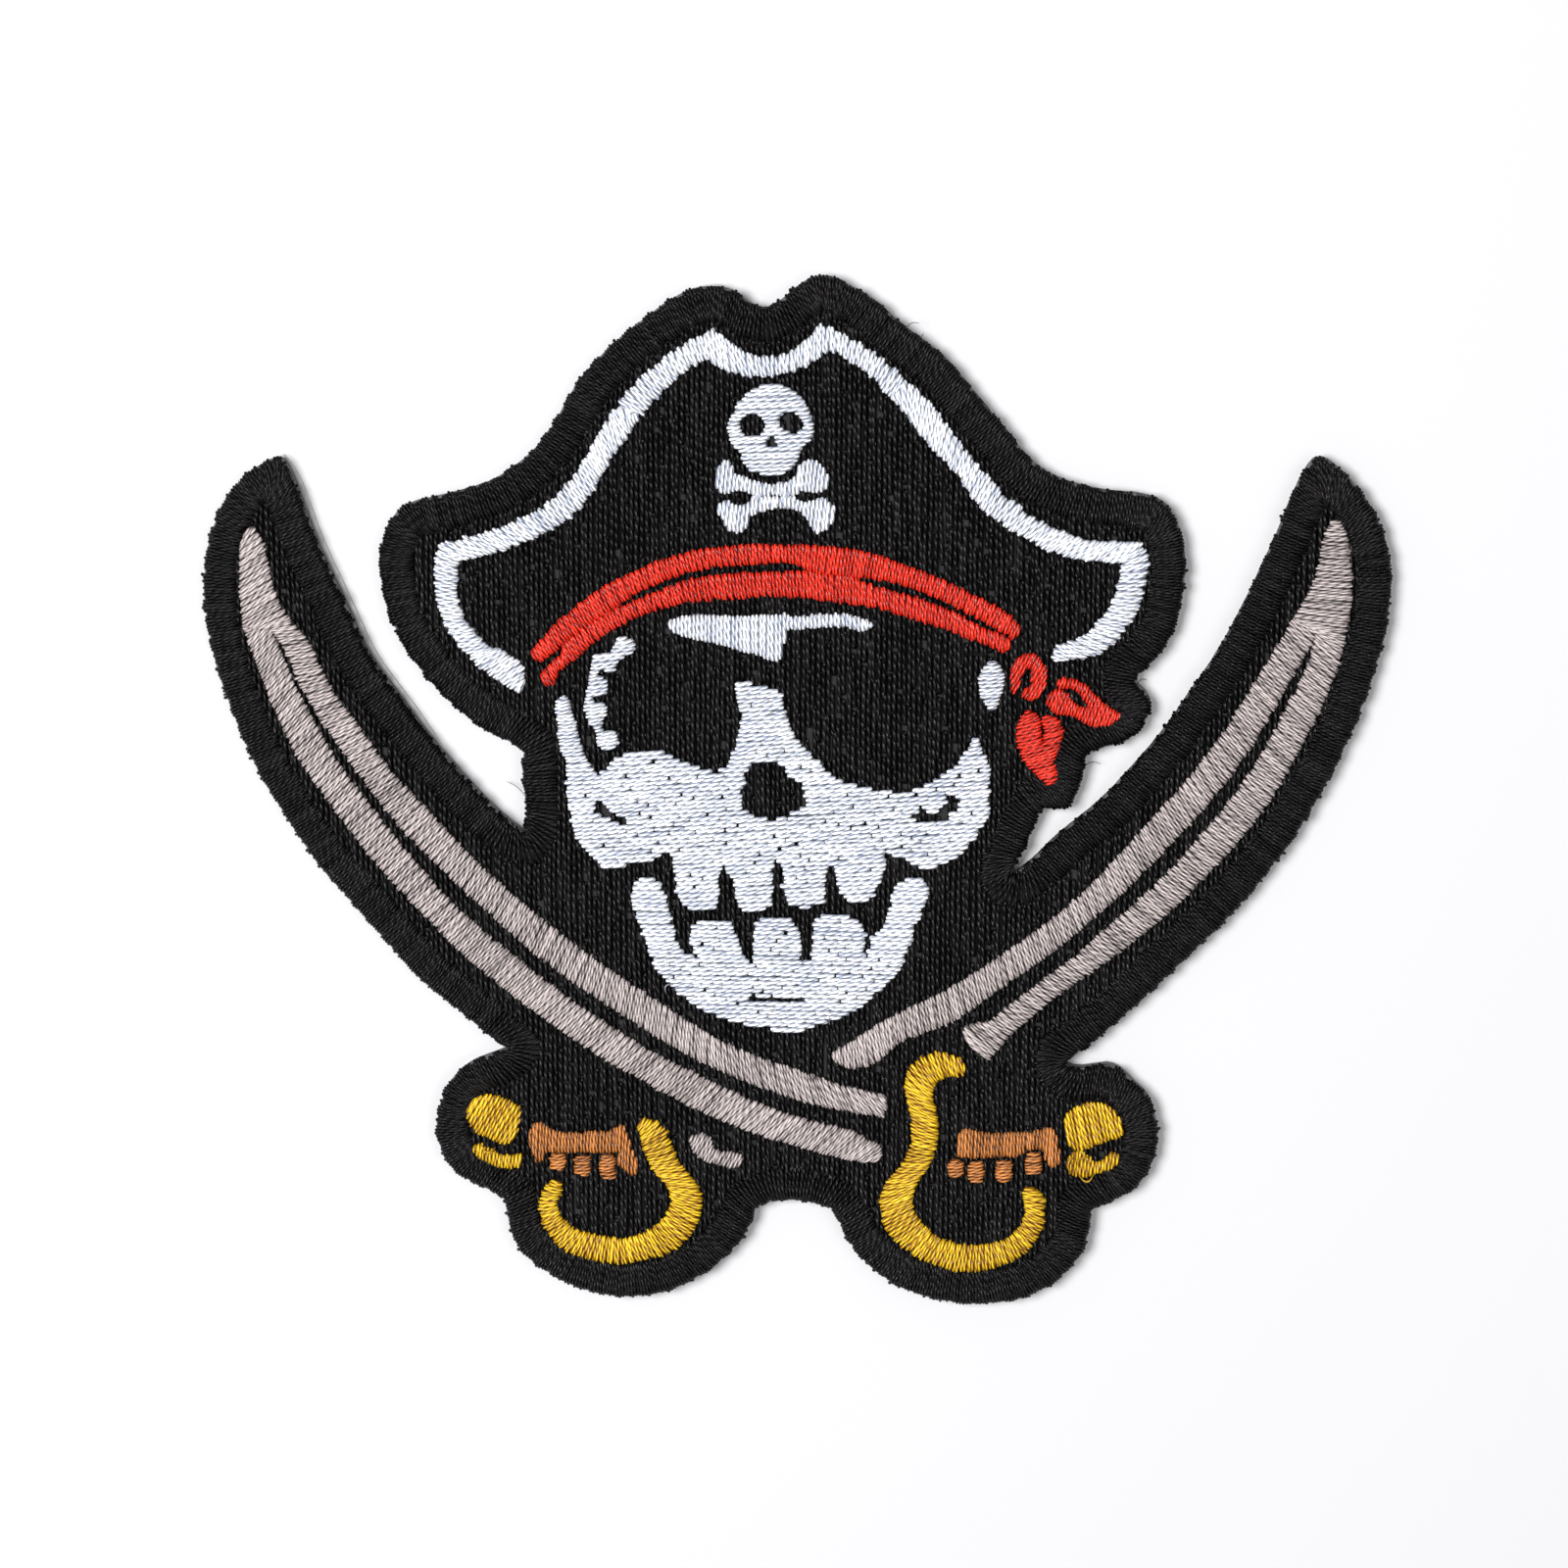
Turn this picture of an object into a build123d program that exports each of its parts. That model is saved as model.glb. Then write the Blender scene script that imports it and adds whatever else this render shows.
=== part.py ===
from build123d import *
import os

# Embroidered pirate patch, lying flat with the stitched face up.
# Millimetres, +Z up, design's upright direction along +Y, origin at the centre of the bottom face.

# Heights of the layers, from the adhesive film up to the coloured stitching.
film_thickness = 0.30
stiffener_thickness = 0.50
bobbin_thickness = 0.15
twill_thickness = 0.35
fill_thickness = 0.40
colour_thickness = 0.35

stiffener_z = film_thickness
bobbin_z = stiffener_z + stiffener_thickness
twill_z = bobbin_z + bobbin_thickness
fill_z = twill_z + twill_thickness
colour_z = fill_z + fill_thickness

border_width = 2.4
edge_wrap = 0.35
border_top_z = colour_z
border_shoulder = 0.35

os.makedirs("parts", exist_ok=True)


def outline(*stretches):
    """Close a loop of stretches; a stretch of three or more points is one smooth curve."""
    starts = [stretch[0] for stretch in stretches]
    next_starts = starts[1:] + starts[:1]
    for stretch, next_start in zip(stretches, next_starts):
        points = list(stretch) + [next_start]
        if len(points) == 2:
            Line(points[0], points[1])
        else:
            Spline(*points)


def patch_outline():
    """Silhouette of the whole patch: hat, crossed blades and the two guard lobes."""
    outline(
        # Left blade, inner side, from the tip down to the gap.
        [(-38.9, 25.8), (-38.0, 24.0), (-37.2, 21.7), (-36.3, 19.2), (-35.1, 16.5), (-33.8, 13.6),
         (-32.3, 10.4), (-30.4, 7.7), (-28.6, 5.2), (-26.8, 3.0), (-24.5, 0.4), (-22.3, -1.8)],
        # Left side of the face, up to the hat.
        [(-20.6, -3.1), (-20.35, -1.5), (-20.5, 1.0)],
        [(-20.5, 3.3), (-21.3, 3.95), (-23.0, 4.7), (-25.0, 6.1), (-27.0, 7.95), (-28.5, 9.7),
         (-29.9, 11.9), (-30.7, 13.8), (-31.2, 15.8), (-31.35, 17.8), (-31.1, 19.6), (-30.4, 21.2),
         (-29.2, 22.2), (-27.5, 22.65), (-25.0, 23.3), (-22.9, 24.0), (-21.0, 25.2), (-19.0, 27.0),
         (-17.9, 28.6), (-16.95, 30.3), (-15.7, 32.2), (-13.9, 34.1), (-10.9, 36.55), (-8.2, 38.3),
         (-5.5, 38.95), (-4.2, 38.4), (-3.1, 37.55), (-2.0, 37.3), (-1.1, 37.65), (0.1, 38.65),
         (1.1, 39.35), (2.45, 39.7), (3.9, 39.15), (5.85, 38.1), (7.85, 36.4), (9.8, 34.95),
         (11.8, 33.3), (13.8, 30.9), (15.8, 28.6), (17.85, 26.1), (19.9, 24.75), (22.0, 24.1),
         (24.0, 23.75), (26.0, 23.6), (27.7, 23.1), (28.95, 21.9), (29.4, 20.0), (29.5, 18.0),
         (29.4, 16.0), (28.75, 13.4), (27.85, 11.7)],
        # Short notch, then the loose ends of the bandana.
        [(26.1, 9.9), (26.1, 9.3), (26.7, 8.6), (27.1, 7.9), (27.0, 7.0), (26.3, 5.7), (25.0, 4.75),
         (23.8, 4.4)],
        [(22.6, 3.9), (22.2, 3.2), (22.05, 2.0), (21.7, 0.9), (21.2, -0.15), (20.4, -0.45)],
        [(19.2, -0.35), (18.5, -1.6), (17.9, -3.2), (17.1, -4.8)],
        # Right blade, inner side, up to the tip and back down the outer side.
        [(16.75, -5.7), (18.1, -4.8), (20.0, -2.85), (22.2, -1.0), (24.5, 1.2), (26.7, 3.75),
         (28.45, 6.0), (30.0, 8.4), (31.75, 11.0), (33.25, 13.75), (34.6, 16.5), (35.7, 19.05),
         (36.75, 21.6), (37.7, 24.1), (38.4, 25.5), (39.3, 26.5), (40.2, 26.2), (41.2, 25.4),
         (42.3, 24.2), (43.25, 22.9), (44.05, 21.4), (44.65, 19.4), (44.9, 17.2), (44.8, 15.2),
         (44.5, 13.1), (43.95, 10.9), (43.2, 8.35), (42.3, 6.0), (41.1, 3.2), (39.5, 0.1),
         (37.8, -2.8), (36.1, -5.1), (34.4, -7.3), (32.6, -9.4), (30.8, -11.2), (29.0, -13.0),
         (27.1, -14.85), (25.0, -16.9), (23.0, -18.6)],
        # Right guard lobe with its pommel.
        [(21.0, -20.35), (22.3, -20.75), (23.7, -20.5), (24.9, -20.6), (26.3, -21.8),
         (27.3, -22.8), (27.95, -24.4), (28.15, -26.3), (27.8, -28.0), (26.9, -29.6), (25.4, -30.8)],
        [(23.1, -31.9), (23.05, -33.3), (22.6, -35.0), (21.9, -36.5), (20.7, -37.8), (19.0, -38.65),
         (16.6, -39.35), (14.0, -39.65), (11.4, -39.35), (8.6, -38.45), (6.3, -37.15), (4.8, -35.7),
         (4.1, -34.2), (3.7, -33.0), (3.0, -32.2), (1.8, -31.8), (0.2, -31.6), (-1.5, -31.8),
         (-2.6, -32.25), (-3.1, -33.2), (-3.8, -34.8), (-5.2, -36.4), (-7.2, -38.0), (-9.5, -39.15),
         (-12.0, -39.7), (-14.2, -39.7), (-16.4, -39.25), (-18.6, -38.25), (-20.5, -36.95),
         (-21.7, -35.3), (-22.1, -33.7)],
        # Left pommel lobe and the outer side of the left blade.
        [(-22.45, -32.1), (-24.2, -31.15), (-26.0, -30.2), (-27.0, -29.0), (-27.5, -27.5),
         (-27.6, -26.0), (-27.2, -24.3), (-26.3, -22.6), (-25.0, -21.45), (-23.6, -20.8)],
        [(-22.0, -20.15), (-24.0, -18.6), (-26.0, -16.9), (-28.0, -15.3), (-30.1, -13.2),
         (-32.0, -11.0), (-34.0, -8.7), (-36.0, -6.4), (-38.0, -3.7), (-39.4, -1.4), (-40.8, 0.9),
         (-42.1, 3.7), (-43.0, 6.1), (-43.9, 8.6), (-44.5, 11.0), (-44.85, 13.4), (-45.0, 15.6),
         (-44.8, 18.0), (-44.3, 20.0), (-43.5, 21.9), (-42.4, 23.5), (-41.0, 24.75)],
    )


def inset_loop(amount):
    """Draw the patch outline moved inward by an even margin, as ordinary smooth curves."""
    loop = patch_face.sketch.faces()[0].outer_wire().offset_2d(-amount, kind=Kind.ARC)
    for edge in loop.edges():
        if edge.length < 0.2:
            Line(edge @ 0, edge @ 1)
        else:
            points = [edge @ step for step in (0, 0.25, 0.5, 0.75, 1)]
            Spline(*points)


# Flat faces shared by the layers: whole patch, core inside the wrapped edge, field inside the border.
with BuildSketch() as patch_face:
    with BuildLine():
        patch_outline()
    make_face()

with BuildSketch() as core_face:
    with BuildLine():
        inset_loop(edge_wrap)
    make_face()

with BuildSketch() as border_top_face:
    with BuildLine():
        inset_loop(border_shoulder)
    make_face()

with BuildSketch() as field_face:
    with BuildLine():
        inset_loop(border_width)
    make_face()

# Iron-on adhesive film, with a thin rim that shows along the inner side of the left blade.
with BuildPart() as heat_seal_film:
    with BuildSketch():
        add(patch_face.sketch)
        with BuildLine():
            outline(
                [(-38.9, 25.8), (-37.7, 24.1), (-36.9, 21.9), (-36.0, 19.4), (-34.8, 16.7),
                 (-33.5, 13.8), (-32.0, 10.6), (-30.1, 7.9), (-28.3, 5.4)],
                [(-26.8, 3.0), (-28.9, 5.0), (-30.8, 7.6), (-32.7, 10.3), (-34.2, 13.5),
                 (-35.5, 16.4), (-36.7, 19.1), (-37.6, 21.6)],
            )
        make_face()
    extrude(amount=film_thickness)
heat_seal_film.part.label = "heat_seal_film"
export_step(heat_seal_film.part, "parts/heat_seal_film.step")

# Stiff non-woven core, inside the stitched edge.
with BuildPart() as stiffener:
    with BuildSketch(Plane.XY.offset(stiffener_z)):
        add(core_face.sketch)
    extrude(amount=stiffener_thickness)
stiffener.part.label = "stiffener"
export_step(stiffener.part, "parts/stiffener.step")

# Bobbin threads locked on the underside of the cloth.
with BuildPart() as bobbin_threads:
    with BuildSketch(Plane.XY.offset(bobbin_z)):
        add(core_face.sketch)
    extrude(amount=bobbin_thickness)
bobbin_threads.part.label = "bobbin_threads"
export_step(bobbin_threads.part, "parts/bobbin_threads.step")

# Black twill cloth that carries the embroidery.
with BuildPart() as twill_ground:
    with BuildSketch(Plane.XY.offset(twill_z)):
        add(core_face.sketch)
    extrude(amount=twill_thickness)
twill_ground.part.label = "twill_ground"
export_step(twill_ground.part, "parts/twill_ground.step")

# Black fill stitching, everywhere inside the border.
with BuildPart() as black_fill:
    with BuildSketch(Plane.XY.offset(fill_z)):
        add(field_face.sketch)
    extrude(amount=fill_thickness)
black_fill.part.label = "black_fill"
export_step(black_fill.part, "parts/black_fill.step")

# Satin border: it covers the rim on top and wraps down over the cut edge to the film.
with BuildPart() as border:
    with BuildSketch(Plane.XY.offset(stiffener_z)):
        add(patch_face.sketch)
    extrude(amount=border_top_z - border_shoulder - stiffener_z)
    with BuildSketch(Plane.XY.offset(border_top_z - border_shoulder)):
        add(border_top_face.sketch)
    extrude(amount=border_shoulder)
    with BuildSketch(Plane.XY.offset(stiffener_z)):
        add(core_face.sketch)
    extrude(amount=fill_z - stiffener_z, mode=Mode.SUBTRACT)
    with BuildSketch(Plane.XY.offset(fill_z)):
        add(field_face.sketch)
    extrude(amount=border_top_z - fill_z, mode=Mode.SUBTRACT)
border.part.label = "border"
export_step(border.part, "parts/border.step")

# White trim along the brim: left wing, crown and right wing.
with BuildPart() as hat_trim_left:
    with BuildSketch(Plane.XY.offset(colour_z)):
        with BuildLine():
            outline(
                [(-20.8, 8.0), (-22.0, 8.75), (-23.5, 9.7), (-24.9, 11.0), (-26.2, 12.8), (-26.9, 14.8),
                 (-27.1, 16.8)],
                [(-27.1, 18.5), (-26.6, 19.2)],
                [(-26.0, 19.4), (-24.0, 19.9), (-22.0, 20.55), (-20.0, 21.4), (-18.2, 22.6), (-16.9, 23.9),
                 (-15.5, 25.95), (-14.1, 28.3)],
                [(-12.9, 30.0)],
                [(-11.35, 29.2), (-12.75, 27.3), (-14.0, 25.4), (-15.2, 23.3), (-16.5, 21.85),
                 (-18.2, 20.55), (-20.4, 19.55), (-22.7, 18.7)],
                [(-25.4, 18.1), (-25.5, 16.4), (-25.4, 14.6), (-24.8, 13.2), (-23.8, 12.0)],
                [(-22.8, 11.2), (-21.5, 10.9), (-20.75, 10.2)],
            )
        make_face()
    extrude(amount=colour_thickness)
hat_trim_left.part.label = "hat_trim_left"
export_step(hat_trim_left.part, "parts/hat_trim_left.step")

with BuildPart() as hat_trim_crown:
    with BuildSketch(Plane.XY.offset(colour_z)):
        with BuildLine():
            outline(
                [(-12.9, 30.0), (-11.9, 31.3), (-10.3, 32.8), (-8.9, 34.0), (-7.4, 34.95)],
                [(-5.9, 35.75), (-5.2, 35.2), (-4.2, 34.4), (-2.9, 33.75), (-1.6, 33.65), (-0.4, 33.9),
                 (0.9, 34.7)],
                [(2.2, 36.1), (3.8, 35.35), (5.2, 34.6), (7.1, 33.2)],
                [(8.6, 31.95)],
                [(7.4, 30.8), (6.2, 32.2), (4.8, 33.25), (3.8, 33.95), (2.7, 34.2), (1.6, 33.4),
                 (0.3, 32.8), (-1.5, 32.35), (-3.1, 32.35), (-4.7, 32.75)],
                [(-6.2, 33.6), (-7.8, 32.85), (-9.2, 31.6), (-10.3, 30.4)],
                [(-11.35, 29.2)],
            )
        make_face()
    extrude(amount=colour_thickness)
hat_trim_crown.part.label = "hat_trim_crown"
export_step(hat_trim_crown.part, "parts/hat_trim_crown.step")

with BuildPart() as hat_trim_right:
    with BuildSketch(Plane.XY.offset(colour_z)):
        with BuildLine():
            outline(
                [(8.6, 31.95), (10.4, 30.3), (12.2, 27.9), (13.9, 25.7), (15.6, 23.8), (17.6, 22.2),
                 (19.6, 21.0), (21.6, 20.2), (24.0, 19.95)],
                [(26.3, 19.95), (26.65, 19.4)],
                [(26.65, 17.8), (26.45, 16.2), (25.8, 14.5), (24.7, 12.8), (23.3, 11.7), (21.8, 11.3)],
                [(20.1, 10.95), (19.85, 11.5)],
                [(20.1, 12.15), (21.5, 12.45), (22.8, 13.4), (23.9, 14.7), (24.6, 16.4)],
                [(25.0, 18.6), (23.0, 18.65), (20.9, 19.0), (18.6, 19.85), (16.4, 21.15), (14.5, 22.45),
                 (13.1, 24.2), (11.7, 26.0), (10.1, 27.6), (8.9, 29.2)],
                [(7.4, 30.8)],
            )
        make_face()
    extrude(amount=colour_thickness)
hat_trim_right.part.label = "hat_trim_right"
export_step(hat_trim_right.part, "parts/hat_trim_right.step")

# Small skull and bones on the hat.
with BuildPart() as emblem_skull:
    with BuildSketch(Plane.XY.offset(colour_z)):
        with BuildLine():
            outline(
                [(-1.2, 31.65), (-2.9, 31.2), (-4.2, 29.9), (-4.75, 28.2), (-4.3, 26.9)],
                [(-3.75, 26.5), (-3.4, 25.4), (-2.5, 24.95), (-1.3, 24.85), (-0.2, 25.15), (0.45, 26.0)],
                [(0.8, 27.1), (1.6, 27.7), (1.5, 29.3), (0.6, 30.8)],
            )
        make_face()
        with BuildLine():
            outline(
                [(-3.65, 29.15), (-2.35, 29.25), (-2.0, 28.8)],
                [(-2.3, 27.95), (-3.6, 27.95), (-3.85, 28.5)],
            )
        make_face(mode=Mode.SUBTRACT)
        with BuildLine():
            outline(
                [(-0.95, 29.05), (0.0, 29.6), (0.85, 28.95)],
                [(0.85, 28.3), (0.1, 28.0), (-0.7, 28.45)],
            )
        make_face(mode=Mode.SUBTRACT)
        with BuildLine():
            outline(
                [(-1.6, 27.75)],
                [(-1.3, 27.75)],
                [(-0.9, 26.9)],
                [(-1.95, 26.9)],
            )
        make_face(mode=Mode.SUBTRACT)
    extrude(amount=colour_thickness)
emblem_skull.part.label = "emblem_skull"
export_step(emblem_skull.part, "parts/emblem_skull.step")

with BuildPart() as emblem_bones_upper:
    with BuildSketch(Plane.XY.offset(colour_z)):
        with BuildLine():
            outline(
                [(-3.0, 23.2), (-4.4, 23.5), (-5.4, 23.4), (-5.6, 24.3), (-5.3, 25.6), (-4.8, 25.95),
                 (-4.35, 25.2)],
                [(-4.2, 24.85), (-2.8, 24.4), (-1.3, 24.15), (0.0, 24.5)],
                [(0.5, 24.95), (0.9, 25.8), (1.8, 26.05), (2.4, 25.5), (2.8, 24.4), (2.5, 23.65),
                 (1.4, 23.55)],
                [(0.2, 23.2)],
            )
        make_face()
    extrude(amount=colour_thickness)
emblem_bones_upper.part.label = "emblem_bones_upper"
export_step(emblem_bones_upper.part, "parts/emblem_bones_upper.step")

with BuildPart() as emblem_bones_lower:
    with BuildSketch(Plane.XY.offset(colour_z)):
        with BuildLine():
            outline(
                [(-3.0, 23.2), (-4.3, 22.6), (-5.1, 22.85), (-5.55, 21.9), (-5.0, 21.1), (-4.5, 20.45),
                 (-3.5, 20.7), (-3.0, 21.65)],
                [(-2.6, 21.85), (-1.2, 22.3), (0.0, 22.25)],
                [(0.7, 22.1), (1.3, 21.2), (2.2, 20.5), (3.0, 21.1), (3.05, 22.7), (2.3, 23.1),
                 (1.2, 22.8)],
                [(0.2, 23.2)],
            )
        make_face()
    extrude(amount=colour_thickness)
emblem_bones_lower.part.label = "emblem_bones_lower"
export_step(emblem_bones_lower.part, "parts/emblem_bones_lower.step")

# Red bandana under the hat: two bands with a dark crease between them, knot and tails.
with BuildPart() as bandana_upper:
    with BuildSketch(Plane.XY.offset(colour_z)):
        with BuildLine():
            outline(
                [(-19.85, 11.0), (-18.6, 12.4), (-16.7, 14.25), (-14.4, 15.95), (-11.8, 17.3), (-8.9, 18.5),
                 (-5.6, 19.2), (-1.5, 19.45), (2.8, 19.35), (6.0, 18.9), (9.0, 17.9), (12.0, 16.7),
                 (14.6, 15.4), (16.9, 13.9)],
                [(17.3, 13.2), (16.8, 12.7)],
                [(16.3, 13.0), (14.2, 14.15), (12.2, 15.15), (10.0, 16.1), (7.5, 16.85)],
                [(4.6, 17.2), (3.0, 17.3)],
                [(1.4, 17.6), (0.6, 18.1), (-2.0, 18.15), (-5.0, 17.95), (-7.6, 17.45), (-10.0, 16.6),
                 (-12.0, 15.6)],
                [(-13.6, 14.4), (-15.3, 13.3), (-17.4, 11.7)],
                [(-18.8, 10.6), (-19.3, 10.45)],
            )
        make_face()
    extrude(amount=colour_thickness)
bandana_upper.part.label = "bandana_upper"
export_step(bandana_upper.part, "parts/bandana_upper.step")

with BuildPart() as bandana_lower:
    with BuildSketch(Plane.XY.offset(colour_z)):
        with BuildLine():
            outline(
                [(-17.4, 11.7), (-18.2, 10.2), (-19.05, 9.2)],
                [(-18.8, 8.6), (-18.2, 8.8)],
                [(-17.8, 9.7), (-16.4, 10.8), (-15.0, 12.0), (-13.0, 13.3), (-10.6, 14.4), (-7.8, 15.15),
                 (-4.5, 15.45), (-1.0, 15.7), (2.6, 15.4), (6.4, 14.9), (9.8, 13.95), (13.0, 12.85)],
                [(16.2, 11.6), (16.6, 12.1)],
                [(16.1, 12.75), (14.0, 13.6), (11.8, 14.7), (9.4, 15.6), (7.0, 16.2)],
                [(4.6, 17.2), (3.0, 17.3)],
                [(1.4, 17.6), (0.4, 17.45), (-2.0, 17.4), (-4.8, 17.2), (-7.4, 16.8), (-9.6, 16.0),
                 (-11.6, 15.1)],
                [(-13.6, 14.4), (-15.3, 13.3)],
            )
        make_face()
    extrude(amount=colour_thickness)
bandana_lower.part.label = "bandana_lower"
export_step(bandana_lower.part, "parts/bandana_lower.step")

with BuildPart() as bandana_knot:
    with BuildSketch(Plane.XY.offset(colour_z)):
        with BuildLine():
            outline(
                [(16.85, 8.4), (16.65, 9.3), (16.7, 10.3), (17.3, 11.2), (18.0, 11.45), (18.8, 11.1),
                 (19.25, 10.2), (19.25, 9.2), (18.8, 8.3), (18.0, 8.0)],
                [(17.5, 8.2), (17.6, 8.55)],
                [(18.1, 8.9), (18.25, 9.6), (18.0, 10.35), (17.6, 10.2), (17.4, 9.5), (17.2, 8.7)],
            )
        make_face()
    extrude(amount=colour_thickness)
bandana_knot.part.label = "bandana_knot"
export_step(bandana_knot.part, "parts/bandana_knot.step")

with BuildPart() as bandana_tail_side:
    with BuildSketch(Plane.XY.offset(colour_z)):
        with BuildLine():
            outline(
                [(20.1, 9.2), (20.5, 9.6), (21.4, 9.55), (22.5, 8.85), (23.7, 7.75)],
                [(25.0, 7.0), (24.6, 6.4), (23.9, 6.0), (22.6, 6.1), (21.4, 6.8), (20.3, 6.9)],
                [(19.35, 7.8), (19.8, 8.6)],
                [(20.2, 8.7), (21.2, 8.05), (22.1, 7.35)],
                [(22.5, 7.5), (21.9, 8.4), (21.2, 8.9), (20.6, 8.85)],
            )
        make_face()
    extrude(amount=colour_thickness)
bandana_tail_side.part.label = "bandana_tail_side"
export_step(bandana_tail_side.part, "parts/bandana_tail_side.step")

with BuildPart() as bandana_tail_down:
    with BuildSketch(Plane.XY.offset(colour_z)):
        with BuildLine():
            outline(
                [(17.9, 7.15), (17.35, 6.4), (17.2, 5.0), (17.5, 3.7), (18.4, 2.5)],
                [(19.5, 1.4), (20.0, 1.6)],
                [(19.9, 3.2), (20.5, 4.9), (20.35, 6.3)],
                [(19.9, 6.65), (19.25, 6.7)],
                [(19.2, 5.8)],
                [(19.12, 4.4)],
                [(18.9, 5.6), (18.7, 6.7)],
            )
        make_face()
    extrude(amount=colour_thickness)
bandana_tail_down.part.label = "bandana_tail_down"
export_step(bandana_tail_down.part, "parts/bandana_tail_down.step")

# White strokes of the face.
with BuildPart() as forehead_triangle:
    with BuildSketch(Plane.XY.offset(colour_z)):
        with BuildLine():
            outline(
                [(-9.6, 13.3), (-8.8, 13.75), (-5.0, 14.0), (-1.6, 14.15)],
                [(-0.4, 14.25), (-0.4, 12.9)],
                [(-0.95, 10.5), (-3.5, 11.4), (-6.3, 12.1), (-8.8, 12.75)],
            )
        make_face()
    extrude(amount=colour_thickness)
forehead_triangle.part.label = "forehead_triangle"
export_step(forehead_triangle.part, "parts/forehead_triangle.step")

with BuildPart() as brow_strip:
    with BuildSketch(Plane.XY.offset(colour_z)):
        with BuildLine():
            outline(
                [(-0.4, 14.25), (1.9, 14.2), (3.9, 14.35), (5.3, 14.05)],
                [(6.2, 13.55), (5.9, 13.2)],
                [(4.4, 13.35), (2.4, 13.3), (0.7, 13.1)],
                [(-0.4, 12.9)],
            )
        make_face()
    extrude(amount=colour_thickness)
brow_strip.part.label = "brow_strip"
export_step(brow_strip.part, "parts/brow_strip.step")

with BuildPart() as socket_edge:
    with BuildSketch(Plane.XY.offset(colour_z)):
        with BuildLine():
            outline(
                [(-12.3, 12.2), (-13.5, 11.85), (-13.7, 11.2), (-14.9, 10.95), (-15.3, 9.9)],
                [(-15.45, 8.9), (-15.7, 7.6), (-15.7, 6.2), (-15.1, 5.3)],
                [(-14.85, 4.6), (-14.3, 3.65), (-13.3, 4.0), (-13.35, 4.8)],
                [(-14.35, 5.1), (-14.45, 5.6)],
                [(-14.1, 6.2), (-14.3, 7.1)],
                [(-15.15, 7.3), (-15.15, 7.7)],
                [(-14.2, 7.85), (-14.0, 8.9)],
                [(-14.85, 9.3), (-14.85, 9.45)],
                [(-13.5, 9.5), (-13.2, 10.4)],
                [(-12.1, 11.1), (-11.85, 11.7)],
            )
        make_face()
    extrude(amount=colour_thickness)
socket_edge.part.label = "socket_edge"
export_step(socket_edge.part, "parts/socket_edge.step")

with BuildPart() as temple_strip:
    with BuildSketch(Plane.XY.offset(colour_z)):
        with BuildLine():
            outline(
                [(-17.2, 7.75), (-17.9, 7.3), (-17.9, 6.0), (-17.75, 4.6), (-17.6, 3.5)],
                [(-17.1, 2.6)],
                [(-15.4, 2.4), (-16.0, 3.6), (-16.4, 5.2), (-16.8, 6.6)],
            )
        make_face()
    extrude(amount=colour_thickness)
temple_strip.part.label = "temple_strip"
export_step(temple_strip.part, "parts/temple_strip.step")

with BuildPart() as ear_highlight:
    with BuildSketch(Plane.XY.offset(colour_z)):
        with BuildLine():
            outline(
                [(15.2, 10.85), (14.6, 10.3), (14.3, 9.0), (14.7, 7.7)],
                [(15.3, 6.9), (15.8, 7.9), (16.05, 9.4), (15.75, 10.6)],
            )
        make_face()
    extrude(amount=colour_thickness)
ear_highlight.part.label = "ear_highlight"
export_step(ear_highlight.part, "parts/ear_highlight.step")

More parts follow.
